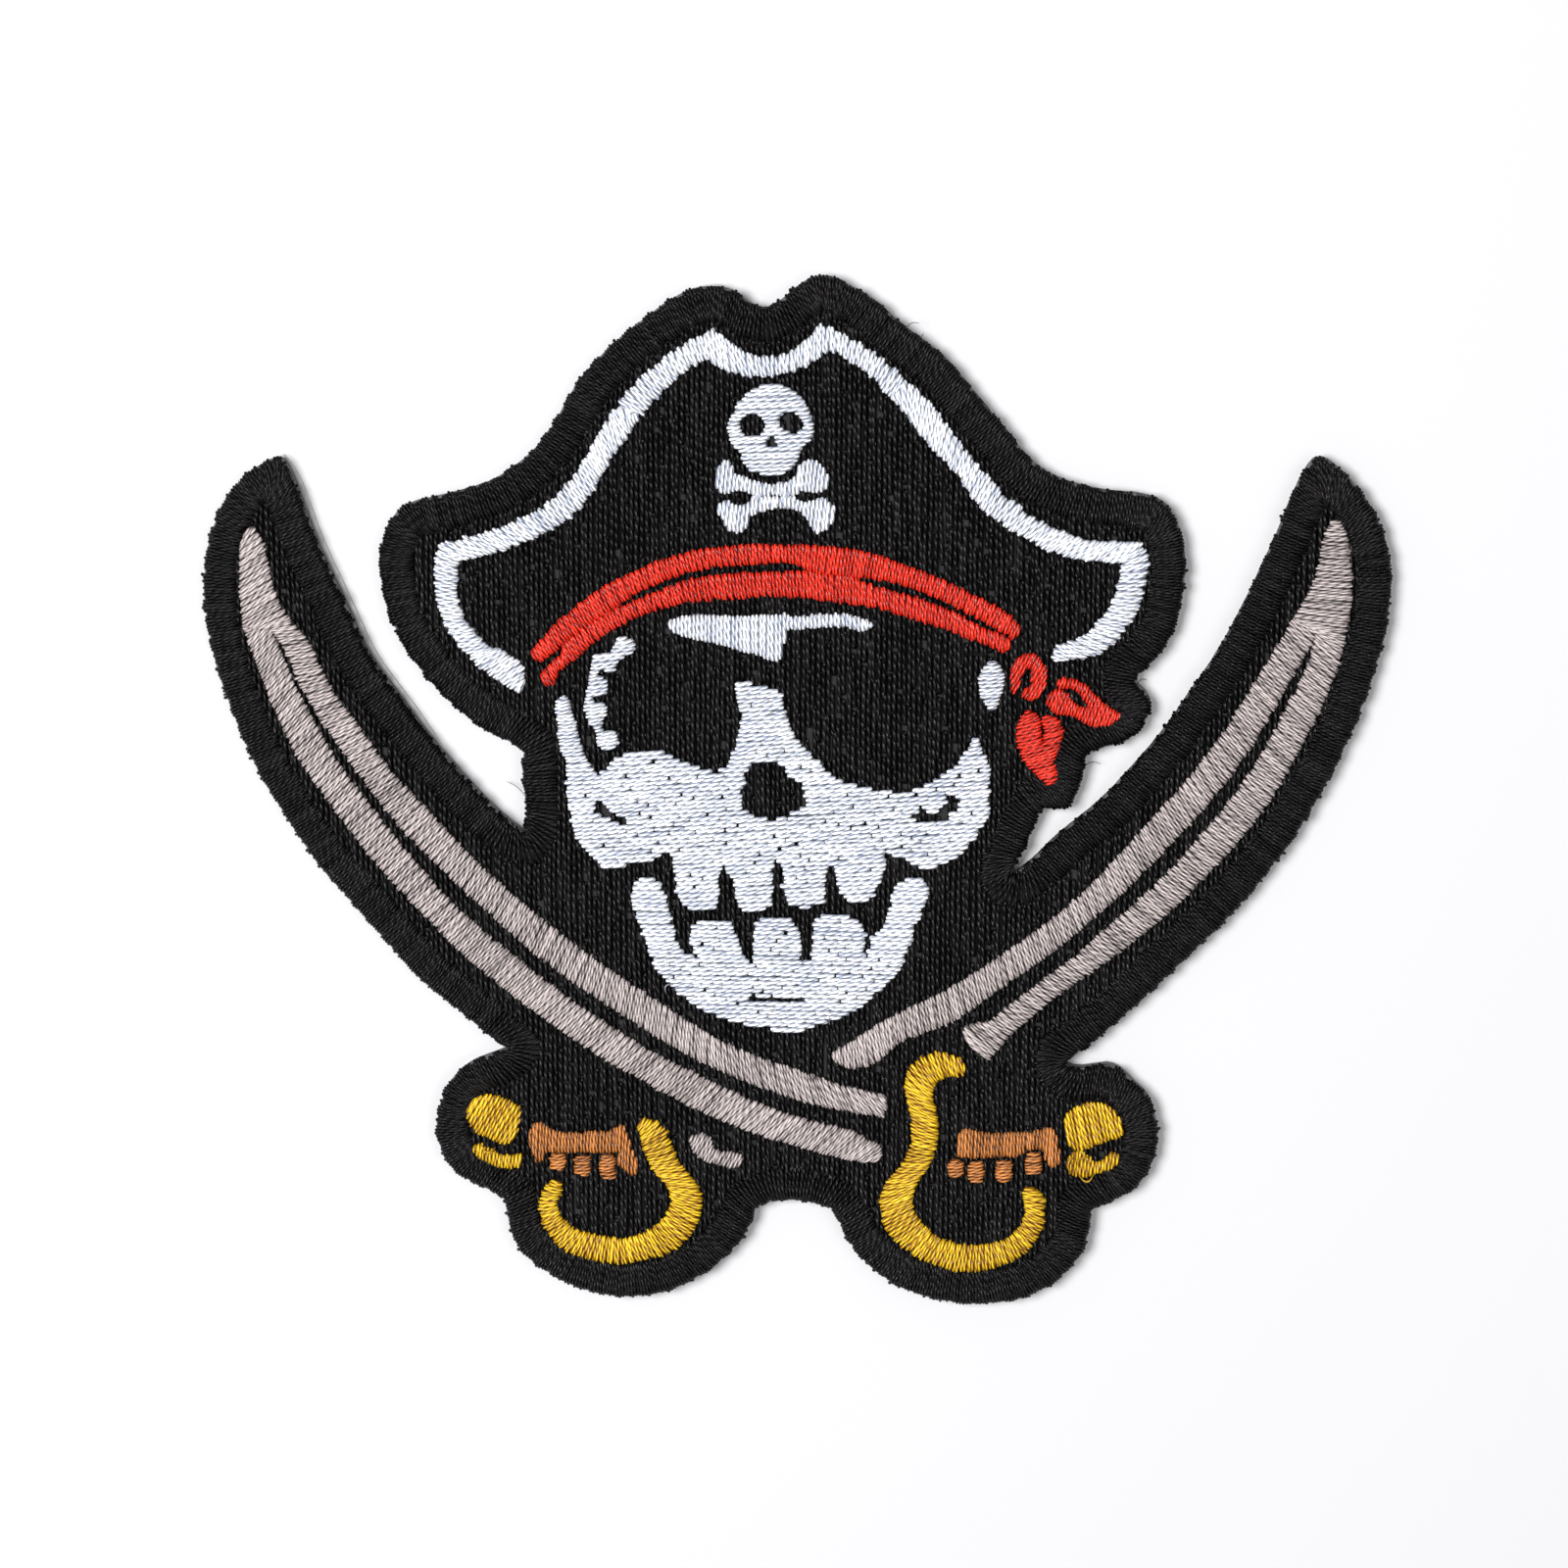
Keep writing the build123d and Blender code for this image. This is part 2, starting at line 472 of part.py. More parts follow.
# Upper face with nose opening, cheek creases and upper teeth.
with BuildPart() as face_maxilla:
    with BuildSketch(Plane.XY.offset(colour_z)):
        with BuildLine():
            outline(
                [(-4.4, 8.9), (-3.8, 9.0), (-2.1, 8.7)],
                [(-1.05, 8.35), (-0.5, 7.0), (-0.15, 5.6), (0.6, 4.4), (1.8, 3.1), (3.2, 1.8), (4.9, 1.15),
                 (6.8, 0.8), (9.2, 0.8), (11.0, 1.65), (12.5, 2.8)],
                [(13.95, 5.1), (14.55, 4.1), (15.0, 2.8), (15.05, 0.8), (15.0, -1.2)],
                [(14.3, -2.1), (13.6, -3.3), (12.5, -4.3), (11.3, -4.95), (10.0, -5.1)],
                [(9.0, -4.6), (8.2, -4.25)],
                [(7.15, -4.25), (7.1, -5.4), (6.6, -6.9), (5.8, -7.75), (4.6, -7.85), (3.8, -7.2),
                 (3.5, -5.8)],
                [(3.1, -4.9), (2.7, -5.6), (2.6, -7.0)],
                [(2.5, -8.0), (1.2, -8.35), (-0.1, -8.15), (-0.5, -7.0), (-0.65, -5.4)],
                [(-1.2, -4.5), (-1.45, -6.0), (-1.4, -7.4)],
                [(-1.6, -8.45), (-2.6, -8.75), (-3.8, -8.55), (-4.15, -7.5), (-4.6, -6.0)],
                [(-5.05, -5.05), (-5.5, -6.2), (-5.55, -7.6)],
                [(-5.7, -8.5), (-7.0, -8.8), (-8.2, -8.4), (-8.75, -7.0), (-8.95, -5.6)],
                [(-9.1, -4.45), (-10.3, -4.6)],
                [(-10.95, -5.25), (-13.0, -5.4), (-14.2, -5.65), (-15.1, -4.8), (-16.3, -3.5),
                 (-16.9, -1.6), (-17.1, 0.6)],
                [(-17.1, 2.6)],
                [(-15.4, 2.4)],
                [(-15.2, 1.75), (-14.2, 2.05), (-13.5, 2.8), (-12.2, 3.45), (-10.8, 3.55)],
                [(-9.5, 3.45), (-8.4, 2.75), (-6.7, 2.25), (-5.4, 2.05)],
                [(-4.9, 2.4), (-4.3, 3.9), (-3.8, 5.3), (-3.95, 7.2)],
            )
        make_face()
        with BuildLine():
            outline(
                [(-3.3, -1.05), (-3.9, -0.3), (-3.8, 1.0), (-3.2, 2.5), (-1.9, 3.0)],
                [(-0.4, 2.5), (0.1, 1.6), (0.8, 1.25)],
                [(1.0, 0.8), (1.05, -0.4), (0.4, -1.05)],
            )
        make_face(mode=Mode.SUBTRACT)
        with BuildLine():
            outline(
                [(-15.15, -0.35), (-14.5, -0.4), (-13.6, -1.3)],
                [(-12.4, -1.5), (-12.5, -1.85)],
                [(-11.95, -2.3), (-13.4, -2.1), (-14.4, -1.6), (-15.1, -1.15)],
            )
        make_face(mode=Mode.SUBTRACT)
        with BuildLine():
            outline(
                [(9.2, -1.15), (10.0, -0.75), (11.2, -0.7)],
                [(11.7, -0.2), (12.2, 0.6), (12.85, 0.15), (12.7, -0.7)],
                [(12.1, -0.9), (11.9, -1.4), (11.3, -1.6), (10.1, -1.6)],
            )
        make_face(mode=Mode.SUBTRACT)
    extrude(amount=colour_thickness)
face_maxilla.part.label = "face_maxilla"
export_step(face_maxilla.part, "parts/face_maxilla.step")

# Lower jaw with its teeth and a chin crease.
with BuildPart() as face_jaw:
    with BuildSketch(Plane.XY.offset(colour_z)):
        with BuildLine():
            outline(
                [(-11.2, -6.25), (-12.1, -6.8), (-12.1, -8.2), (-11.6, -10.2), (-10.9, -12.0),
                 (-10.4, -13.4), (-9.2, -14.7), (-8.0, -15.8), (-6.4, -16.8), (-4.3, -17.5), (-2.0, -17.95),
                 (0.8, -18.05)],
                [(2.0, -17.35), (3.6, -17.1), (5.4, -16.0), (7.0, -14.6), (8.3, -12.9), (9.2, -10.7),
                 (10.0, -8.5), (10.5, -6.9), (10.0, -6.1), (8.7, -6.1)],
                [(8.1, -6.5), (7.6, -8.3), (6.9, -10.1)],
                [(6.2, -10.8), (6.1, -11.5)],
                [(5.5, -11.8), (5.6, -10.5), (5.0, -9.3), (4.2, -9.05), (2.3, -9.1)],
                [(1.85, -9.5), (1.7, -11.0)],
                [(1.6, -12.4), (1.0, -12.6)],
                [(0.65, -12.4), (0.7, -11.2), (0.3, -9.8)],
                [(-0.1, -9.3), (-1.2, -9.25), (-2.4, -9.45)],
                [(-2.85, -9.8), (-2.85, -11.4)],
                [(-2.9, -13.0), (-3.7, -12.2), (-4.3, -10.6)],
                [(-4.75, -9.7), (-6.0, -9.65), (-7.3, -9.8)],
                [(-7.7, -10.7), (-7.6, -11.6)],
                [(-7.1, -12.45), (-8.3, -12.0), (-8.9, -10.8), (-9.5, -8.8), (-10.1, -6.8)],
                [(-10.5, -6.4)],
            )
        make_face()
        with BuildLine():
            outline(
                [(-3.1, -15.3), (-1.0, -15.5)],
                [(1.0, -15.45)],
                [(1.0, -15.9), (-1.0, -15.75)],
                [(-3.05, -15.8)],
            )
        make_face(mode=Mode.SUBTRACT)
    extrude(amount=colour_thickness)
face_jaw.part.label = "face_jaw"
export_step(face_jaw.part, "parts/face_jaw.step")

# Left blade: tip with the long inner strip, and the outer strip beside it.
with BuildPart() as blade_left_inner:
    with BuildSketch(Plane.XY.offset(colour_z)):
        with BuildLine():
            outline(
                [(-41.2, 20.4), (-41.8, 19.6), (-42.1, 17), (-42.1, 14.6)],
                [(-41.9, 12.6)],
                [(-39.85, 12.6), (-39, 11.5), (-37.7, 8.5), (-35.9, 5.4), (-33.9, 2.45), (-31.6, -0.7),
                 (-29.2, -3.55), (-26.2, -6.5), (-23, -9.5), (-19.6, -12.5), (-15.9, -15.2), (-12.2, -17.6),
                 (-8.4, -19.9), (-4.3, -21.8), (0, -23.35), (4, -24.3)],
                [(7.1, -24.7), (7.4, -23.9)],
                [(7.1, -23.05), (4.6, -22.6), (1.6, -21.7), (-1.9, -20.55), (-5.2, -19.25), (-8.5, -17.3),
                 (-12.2, -14.9), (-16.4, -12), (-20.6, -8.7), (-24.4, -5.25), (-27.9, -1.5), (-30.9, 1.7),
                 (-33.6, 5.55), (-35.9, 9), (-37.3, 11.9), (-38.6, 13.5)],
                [(-39.2, 14.6), (-40, 17.3), (-40.5, 19.4)],
            )
        make_face()
    extrude(amount=colour_thickness)
blade_left_inner.part.label = "blade_left_inner"
export_step(blade_left_inner.part, "parts/blade_left_inner.step")

with BuildPart() as blade_left_outer:
    with BuildSketch(Plane.XY.offset(colour_z)):
        with BuildLine():
            outline(
                [(-41.9, 12.6), (-41, 10), (-39.6, 6.4), (-38, 2.8), (-35.7, -0.6), (-33.2, -3.95),
                 (-30, -7.75), (-26.8, -11.1), (-23.3, -14.25), (-19.4, -17.25), (-15.6, -19.9),
                 (-11.6, -22.2), (-7, -24.6), (-2.8, -26.25), (1.2, -27.4), (4.2, -28.15)],
                [(6.6, -28.35), (6.95, -27.6)],
                [(6.2, -26.9), (4.6, -26.05), (1.4, -25.3), (-2.6, -24), (-6.7, -22.1), (-10.4, -20.3),
                 (-14.4, -17.9), (-18.4, -15.2), (-22, -12.3), (-25.6, -9.2), (-29.2, -5.25),
                 (-32, -1.7), (-34.9, 2.3), (-37.2, 6.3), (-38.9, 10)],
                [(-39.85, 12.6)],
            )
        make_face()
    extrude(amount=colour_thickness)
blade_left_outer.part.label = "blade_left_outer"
export_step(blade_left_outer.part, "parts/blade_left_outer.step")

# Right blade, built the same way.
with BuildPart() as blade_right_outer:
    with BuildSketch(Plane.XY.offset(colour_z)):
        with BuildLine():
            outline(
                [(40.8, 22.05), (41.3, 21.3), (41.8, 19.2), (41.95, 17), (41.8, 14.4), (41.2, 11.3),
                 (40.1, 8.2), (38.4, 4.6), (36.2, 0.6), (33.6, -3), (30.7, -6.2), (27.6, -9.3),
                 (24.3, -12), (20.6, -14.7), (17.6, -17.3)],
                [(15.2, -20), (14, -19.1), (13.4, -18.3)],
                [(15.3, -17.2), (18.6, -14.4), (21.6, -12), (24.9, -9), (28, -6), (31, -2.6),
                 (33.5, 0.6), (35.6, 3.9), (37.4, 7.5), (38.8, 10.45)],
                [(39.6, 13.4)],
                [(37.8, 14.4), (39, 16.6), (39.7, 18.8), (40.1, 20.9)],
            )
        make_face()
    extrude(amount=colour_thickness)
blade_right_outer.part.label = "blade_right_outer"
export_step(blade_right_outer.part, "parts/blade_right_outer.step")

with BuildPart() as blade_right_inner:
    with BuildSketch(Plane.XY.offset(colour_z)):
        with BuildLine():
            outline(
                [(37.8, 14.4), (36.4, 11.8), (34.6, 8.7), (32.7, 5.55), (30.2, 2.05), (27.4, -1.2),
                 (24.4, -4.7), (21.2, -8), (17.7, -10.8), (14, -13.5), (10.6, -15.5), (7.2, -17.3),
                 (5, -18.8)],
                [(3.1, -19.9), (3.9, -20.7), (5.6, -20.8)],
                [(7.2, -19.9), (9.2, -18.4), (12.2, -17.2), (15.6, -14.7), (19.2, -12.1), (22.4, -9.4),
                 (25.4, -6.6), (28.6, -3.2), (31.6, 0.3), (34.2, 3.8), (36.3, 7.4), (38.2, 10.95)],
                [(39.6, 13.4)],
            )
        make_face()
    extrude(amount=colour_thickness)
blade_right_inner.part.label = "blade_right_inner"
export_step(blade_right_inner.part, "parts/blade_right_inner.step")

# Short grey glint below the crossing.
with BuildPart() as blade_glint:
    with BuildSketch(Plane.XY.offset(colour_z)):
        with BuildLine():
            outline(
                [(-7.9, -26.9), (-7.1, -26.55)],
                [(-6.2, -26.9), (-5.6, -27.9), (-4.5, -28.0)],
                [(-3.75, -28.5), (-4.1, -29.0), (-5.4, -28.95), (-7.0, -28.4), (-7.6, -27.8)],
            )
        make_face()
    extrude(amount=colour_thickness)
blade_glint.part.label = "blade_glint"
export_step(blade_glint.part, "parts/blade_glint.step")

# Gold guards.
with BuildPart() as guard_left:
    with BuildSketch(Plane.XY.offset(colour_z)):
        with BuildLine():
            outline(
                [(-11.4, -25.45), (-9.9, -26.1), (-9.4, -27.2), (-8.4, -29.2), (-7.1, -31.2),
                 (-7.0, -32.4), (-7.8, -34.4), (-9.3, -35.9), (-11.3, -36.6), (-13.8, -37.0),
                 (-16.3, -36.6), (-18.2, -35.6), (-19.4, -33.8), (-19.5, -32.2), (-18.9, -30.8)],
                [(-18.4, -30.45), (-18.0, -30.7)],
                [(-18.3, -32.0), (-18.1, -33.2), (-17.2, -34.2), (-15.3, -34.9), (-13.3, -35.1),
                 (-11.3, -34.6), (-9.9, -33.4), (-9.2, -32.1), (-9.4, -31.0), (-10.5, -29.6),
                 (-11.2, -28.3), (-11.6, -26.9)],
                [(-11.85, -25.9)],
            )
        make_face()
    extrude(amount=colour_thickness)
guard_left.part.label = "guard_left"
export_step(guard_left.part, "parts/guard_left.step")

with BuildPart() as guard_right:
    with BuildSketch(Plane.XY.offset(colour_z)):
        with BuildLine():
            outline(
                [(13.3, -21.3), (13.2, -20.3)],
                [(12.6, -20.0), (11.6, -19.7), (10.2, -20.1), (9.1, -21.1), (8.9, -22.6), (9.4, -25.2),
                 (9.3, -27.2), (8.4, -28.9), (7.3, -30.4), (7.0, -31.9), (7.4, -33.6), (8.8, -35.2),
                 (11.0, -36.4), (14.0, -36.95), (16.6, -36.3), (18.4, -35.1), (19.4, -33.2)],
                [(19.55, -31.1), (19.2, -30.5), (18.5, -30.2)],
                [(18.2, -31.6), (17.8, -33.4), (16.3, -34.6), (14.2, -35.0), (11.6, -34.5), (10.0, -33.2),
                 (9.3, -31.6), (9.7, -30.1), (10.6, -28.6), (11.2, -26.7), (11.2, -24.6), (10.9, -22.8),
                 (11.3, -21.8), (12.2, -21.4)],
            )
        make_face()
    extrude(amount=colour_thickness)
guard_right.part.label = "guard_right"
export_step(guard_right.part, "parts/guard_right.step")

# Gold pommels, each with a thin collar stitched under it.
with BuildPart() as pommel_left:
    with BuildSketch(Plane.XY.offset(colour_z)):
        with BuildLine():
            outline(
                [(-25.25, -25.3), (-24.9, -24.4), (-23.8, -23.8), (-22.6, -23.95)],
                [(-21.1, -24.7)],
                [(-21.2, -26.3), (-21.9, -27.5)],
                [(-23.7, -27.1), (-24.9, -26.3)],
            )
        make_face()
    extrude(amount=colour_thickness)
pommel_left.part.label = "pommel_left"
export_step(pommel_left.part, "parts/pommel_left.step")

with BuildPart() as pommel_left_collar:
    with BuildSketch(Plane.XY.offset(colour_z)):
        with BuildLine():
            outline(
                [(-24.8, -28.2), (-24.3, -27.7), (-23.6, -28.0), (-22.6, -28.6), (-21.4, -28.5)],
                [(-21.05, -28.5)],
                [(-21.1, -29.4), (-22.4, -29.5), (-23.8, -29.1)],
            )
        make_face()
    extrude(amount=colour_thickness)
pommel_left_collar.part.label = "pommel_left_collar"
export_step(pommel_left_collar.part, "parts/pommel_left_collar.step")

with BuildPart() as pommel_right:
    with BuildSketch(Plane.XY.offset(colour_z)):
        with BuildLine():
            outline(
                [(21.3, -24.2), (22.15, -23.65), (23.3, -23.35), (24.55, -23.65), (25.3, -24.5),
                 (25.55, -25.4)],
                [(25.2, -26.15), (23.65, -26.6), (21.9, -27.05)],
                [(21.4, -26.05), (21.1, -25.2)],
            )
        make_face()
    extrude(amount=colour_thickness)
pommel_right.part.label = "pommel_right"
export_step(pommel_right.part, "parts/pommel_right.step")

with BuildPart() as pommel_right_collar:
    with BuildSketch(Plane.XY.offset(colour_z)):
        with BuildLine():
            outline(
                [(21.75, -27.35), (22.7, -27.35), (23.2, -27.9)],
                [(24.25, -27.7), (24.95, -27.25)],
                [(25.25, -27.5), (25.15, -28.1), (23.65, -28.85), (22.3, -29.25), (21.65, -29.0)],
            )
        make_face()
    extrude(amount=colour_thickness)
pommel_right_collar.part.label = "pommel_right_collar"
export_step(pommel_right_collar.part, "parts/pommel_right_collar.step")

# Brown grips with their finger ridges.
with BuildPart() as grip_left:
    with BuildSketch(Plane.XY.offset(colour_z)):
        with BuildLine():
            outline(
                [(-20.0, -26.0), (-19.3, -25.95), (-18.6, -26.4), (-16.0, -26.6), (-13.9, -26.3)],
                [(-13.2, -25.9), (-12.75, -26.6)],
                [(-12.4, -28.0), (-12.0, -29.2), (-12.2, -29.95), (-12.7, -29.8)],
                [(-13.2, -28.1)],
                [(-19.3, -28.3), (-19.4, -29.0)],
                [(-19.7, -29.2), (-20.15, -28.4), (-20.4, -27.2)],
            )
        make_face()
    extrude(amount=colour_thickness)
grip_left.part.label = "grip_left"
export_step(grip_left.part, "parts/grip_left.step")

ridge_width = 1.25
ridge_top = -28.3
with BuildPart() as grip_left_ridges:
    with BuildSketch(Plane.XY.offset(colour_z)):
        for ridge_x, ridge_bottom in ((-18.15, -29.65), (-16.25, -30.0), (-14.25, -30.2)):
            with Locations((ridge_x, (ridge_top + ridge_bottom) / 2)):
                RectangleRounded(ridge_width, ridge_top - ridge_bottom - 0.05, 0.35)
    extrude(amount=colour_thickness)
grip_left_ridges.part.label = "grip_left_ridges"
export_step(grip_left_ridges.part, "parts/grip_left_ridges.step")

with BuildPart() as grip_right:
    with BuildSketch(Plane.XY.offset(colour_z)):
        with BuildLine():
            outline(
                [(12.9, -26.2), (13.6, -25.6), (14.4, -25.8), (17.0, -25.85), (18.8, -25.7), (20.0, -25.4)],
                [(20.5, -25.75), (20.75, -27.2), (20.6, -28.35), (20.15, -28.6), (19.8, -28.2)],
                [(19.5, -27.2), (18.2, -27.25)],
                [(17.6, -27.8), (15.4, -27.85), (13.4, -27.95)],
                [(12.85, -27.9)],
            )
        make_face()
    extrude(amount=colour_thickness)
grip_right.part.label = "grip_right"
export_step(grip_right.part, "parts/grip_right.step")

with BuildPart() as grip_right_ridges:
    with BuildSketch(Plane.XY.offset(colour_z)):
        for ridge_x, ridge_middle, ridge_height in (
            (12.75, -28.8, 1.4),
            (14.35, -29.0, 1.7),
            (16.45, -28.85, 1.75),
            (18.75, -28.3, 1.8),
        ):
            with Locations((ridge_x, ridge_middle)):
                RectangleRounded(ridge_width, ridge_height, 0.45)
    extrude(amount=colour_thickness)
grip_right_ridges.part.label = "grip_right_ridges"
export_step(grip_right_ridges.part, "parts/grip_right_ridges.step")
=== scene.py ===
"""An embroidered patch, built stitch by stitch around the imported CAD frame.

Lengths inside the stitch code are in millimetres and become metres when a mesh is made.
"""
import math
import bpy
import mathutils
import numpy as np
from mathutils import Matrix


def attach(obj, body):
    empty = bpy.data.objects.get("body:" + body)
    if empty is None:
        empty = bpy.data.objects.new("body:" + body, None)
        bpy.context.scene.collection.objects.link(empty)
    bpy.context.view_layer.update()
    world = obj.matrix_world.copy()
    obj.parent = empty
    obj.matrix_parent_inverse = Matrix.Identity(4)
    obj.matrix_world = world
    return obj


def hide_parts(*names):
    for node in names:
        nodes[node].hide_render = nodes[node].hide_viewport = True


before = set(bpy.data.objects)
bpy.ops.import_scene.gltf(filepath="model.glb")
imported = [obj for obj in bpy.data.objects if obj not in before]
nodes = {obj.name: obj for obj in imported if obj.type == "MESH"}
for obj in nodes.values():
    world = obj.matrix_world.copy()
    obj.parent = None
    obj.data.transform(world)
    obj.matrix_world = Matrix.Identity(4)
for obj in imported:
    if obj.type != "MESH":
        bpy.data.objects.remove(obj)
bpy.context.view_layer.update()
rng = np.random.default_rng(7)

MM = 0.001
TWILL_TOP = 1.30          # top of the woven ground
FILL_TOP = 1.70           # top of the black fill, where the coloured fields start
COLOUR_TOP = 2.05         # top of the coloured fields
PLY_TWIST = 1.60          # length of one full turn of the thread, so its two plies show every 0.8
THREAD_SIDES = 6          # corners of a thread's section; the caps in tubes() are made for six
END_TAPER = 0.45          # how thick a thread's two ends are, beside its middle
SHORTEST_ROW = 0.25       # a row shorter than this is left out
ROW_STAGGER = 0.37        # how far each row's needle points are moved on, in stitch lengths
END_CLEARANCE = 0.9       # no needle point this close to the end of a row
RAIL_POINTS = 120         # points round an outline when its two long sides are looked for
THREAD_RISE = 0.14        # a top thread's centre lies this far under the top of its layer


# ---------------------------------------------------------------- outlines read from the CAD nodes

def top_loops(node):
    """The closed outlines of a node's top face, outermost first, as arrays of x, y in millimetres."""
    mesh = nodes[node].data
    points = np.array([v.co[:] for v in mesh.vertices]) / MM
    top = points[:, 2].max()
    keys = {}
    number = np.empty(len(points), int)
    for i, p in enumerate(points):
        key = (round(p[0], 3), round(p[1], 3), round(p[2], 3))
        number[i] = keys.setdefault(key, len(keys))
    place = np.zeros((len(keys), 3))
    place[number] = points
    used = {}
    for face in mesh.polygons:
        ring = [number[i] for i in face.vertices]
        if face.normal.z < 0.9 or min(place[i][2] for i in ring) < top - 0.02:
            continue
        for a, b in zip(ring, ring[1:] + ring[:1]):
            used[(a, b)] = used.get((a, b), 0) + 1
    following = {}
    for a, b in used:
        if (b, a) not in used and a != b:
            following.setdefault(a, []).append(b)
    loops = []
    while following:
        start = next(iter(following))
        loop = [start]
        while True:
            ends = following.get(loop[-1])
            if not ends:
                break
            step = ends.pop()
            if not ends:
                del following[loop[-1]]
            if step == start:
                break
            loop.append(step)
        if len(loop) > 3:
            loops.append(place[loop][:, :2])
    return sorted(loops, key=lambda line: -abs(area_of(line)))


def area_of(loop):
    x, y = loop[:, 0], loop[:, 1]
    return 0.5 * float(np.sum(x * np.roll(y, -1) - np.roll(x, -1) * y))


def resample(line, count, closed=False):
    """count points at equal steps along a line."""
    if closed:
        line = np.vstack([line, line[:1]])
    steps = np.hypot(*np.diff(line, axis=0).T)
    along = np.concatenate([[0], np.cumsum(steps)])
    wanted = np.linspace(0, along[-1], count + 1)[:-1] if closed else np.linspace(0, along[-1], count)
    return np.column_stack([np.interp(wanted, along, line[:, k]) for k in (0, 1)])


def length_of(line):
    return float(np.hypot(*np.diff(line, axis=0).T).sum())


def inside(points, loops):
    """True for each point that an odd number of the loops hold."""
    odd = np.zeros(len(points), bool)
    for loop in loops:
        a, b = loop, np.roll(loop, -1, axis=0)
        for (ax, ay), (bx, by) in zip(a, b):
            if ay == by:
                continue
            crosses = (ay > points[:, 1]) != (by > points[:, 1])
            at = ax + (points[:, 1] - ay) * (bx - ax) / (by - ay)
            odd ^= crosses & (points[:, 0] < at)
    return odd


# ---------------------------------------------------------------- stitch layouts

def rows(loops, angle, pitch, longest, overshoot=0.12, jitter=0.04):
    """Parallel stitches that fill the loops. angle is the rows' direction from +X, in degrees."""
    turn = math.radians(angle - 90)
    c, s = math.cos(turn), math.sin(turn)
    spin = np.array([[c, -s], [s, c]])
    flat = [loop @ spin for loop in loops]
    low = min(line[:, 0].min() for line in flat)
    high = max(line[:, 0].max() for line in flat)
    starts, ends = [], []
    count = max(int(round((high - low) / pitch)), 1)
    step = (high - low) / count
    for k in range(count):
        x = low + (k + 0.5) * step
        cuts = []
        for line in flat:
            a, b = line, np.roll(line, -1, axis=0)
            hit = (a[:, 0] > x) != (b[:, 0] > x)
            p, q = a[hit], b[hit]
            cuts += list(p[:, 1] + (x - p[:, 0]) * (q[:, 1] - p[:, 1]) / (q[:, 0] - p[:, 0]))
        cuts.sort()
        for y0, y1 in zip(cuts[::2], cuts[1::2]):
            if y1 - y0 < SHORTEST_ROW:
                continue
            y0, y1 = y0 - overshoot, y1 + overshoot
            marks = [y0]
            if y1 - y0 > longest * 1.25:
                first = (math.floor(y0 / longest) + (k * ROW_STAGGER) % 1.0) * longest
                for n in range(int((y1 - y0) / longest) + 3):
                    mark = first + n * longest + rng.normal(0, 0.07)
                    if y0 + END_CLEARANCE < mark < y1 - END_CLEARANCE:
                        marks.append(mark)
            marks.append(y1)
            for m0, m1 in zip(marks, marks[1:]):
                e0, e1 = rng.normal(0, jitter, 2)
                starts.append((x + rng.normal(0, 0.012) + e0 * 0.2, m0 + e0))
                ends.append((x + rng.normal(0, 0.012) + e1 * 0.2, m1 + e1))
    back = spin.T
    if not starts:
        return np.zeros((0, 2)), np.zeros((0, 2))
    return np.array(starts) @ back, np.array(ends) @ back


def rails_of(loop):
    """Splits a long thin outline into its two long sides, which run the same way."""
    n = RAIL_POINTS
    ring = resample(loop, n, closed=True)
    best = None
    for i in range(n // 2):
        for j in range(i + n // 3, i + 2 * n // 3):
            side_a = ring[np.arange(i, j + 1) % n]
            side_b = ring[np.arange(i, j - n - 1, -1) % n]
            m = 24
            a = side_a[np.linspace(0, len(side_a) - 1, m).astype(int)]
            b = side_b[np.linspace(0, len(side_b) - 1, m).astype(int)]
            cost = float(np.hypot(*(a - b).T).mean())
            if best is None or cost < best[0]:
                best = (cost, i, j)
    _, i, j = best
    fine = resample(loop, n * 6, closed=True)
    side_a = fine[np.arange(i * 6, j * 6 + 1) % (n * 6)]
    side_b = fine[np.arange(i * 6, (j - n) * 6 - 1, -1) % (n * 6)]
    return side_a, side_b


def satin(loop, pair, slant=0.0, overshoot=0.10, jitter=0.05):
    """Zigzag stitches across a long outline. slant moves one side's needle points on, in column widths."""
    side_a, side_b = rails_of(loop)
    width = abs(area_of(loop)) / max((length_of(side_a) + length_of(side_b)) / 2, 0.1)
    run = (length_of(side_a) + length_of(side_b)) / 2
    legs = max(int(run / (pair / 2)), 4)
    shift = slant * width / run
    a_line, b_line = resample(side_a, 800), resample(side_b, 800)
    starts, ends = [], []
    for k in range(legs):
        near, far = (a_line, b_line) if k % 2 == 0 else (b_line, a_line)
        s0, s1 = (k + 0.38) / legs, (k + 0.62) / legs
        lean = shift if k % 2 == 0 else -shift
        p = near[int(np.clip(s0 - lean / 2, 0, 1) * 799)]
        q = far[int(np.clip(s1 + lean / 2, 0, 1) * 799)]
        gap = q - p
        size = float(np.hypot(*gap))
        if size < 0.3:
            continue
        gap = gap / size
        starts.append(p - gap * (overshoot + rng.normal(0, jitter)))
        ends.append(q + gap * (overshoot + rng.normal(0, jitter)))
    return np.array(starts), np.array(ends)


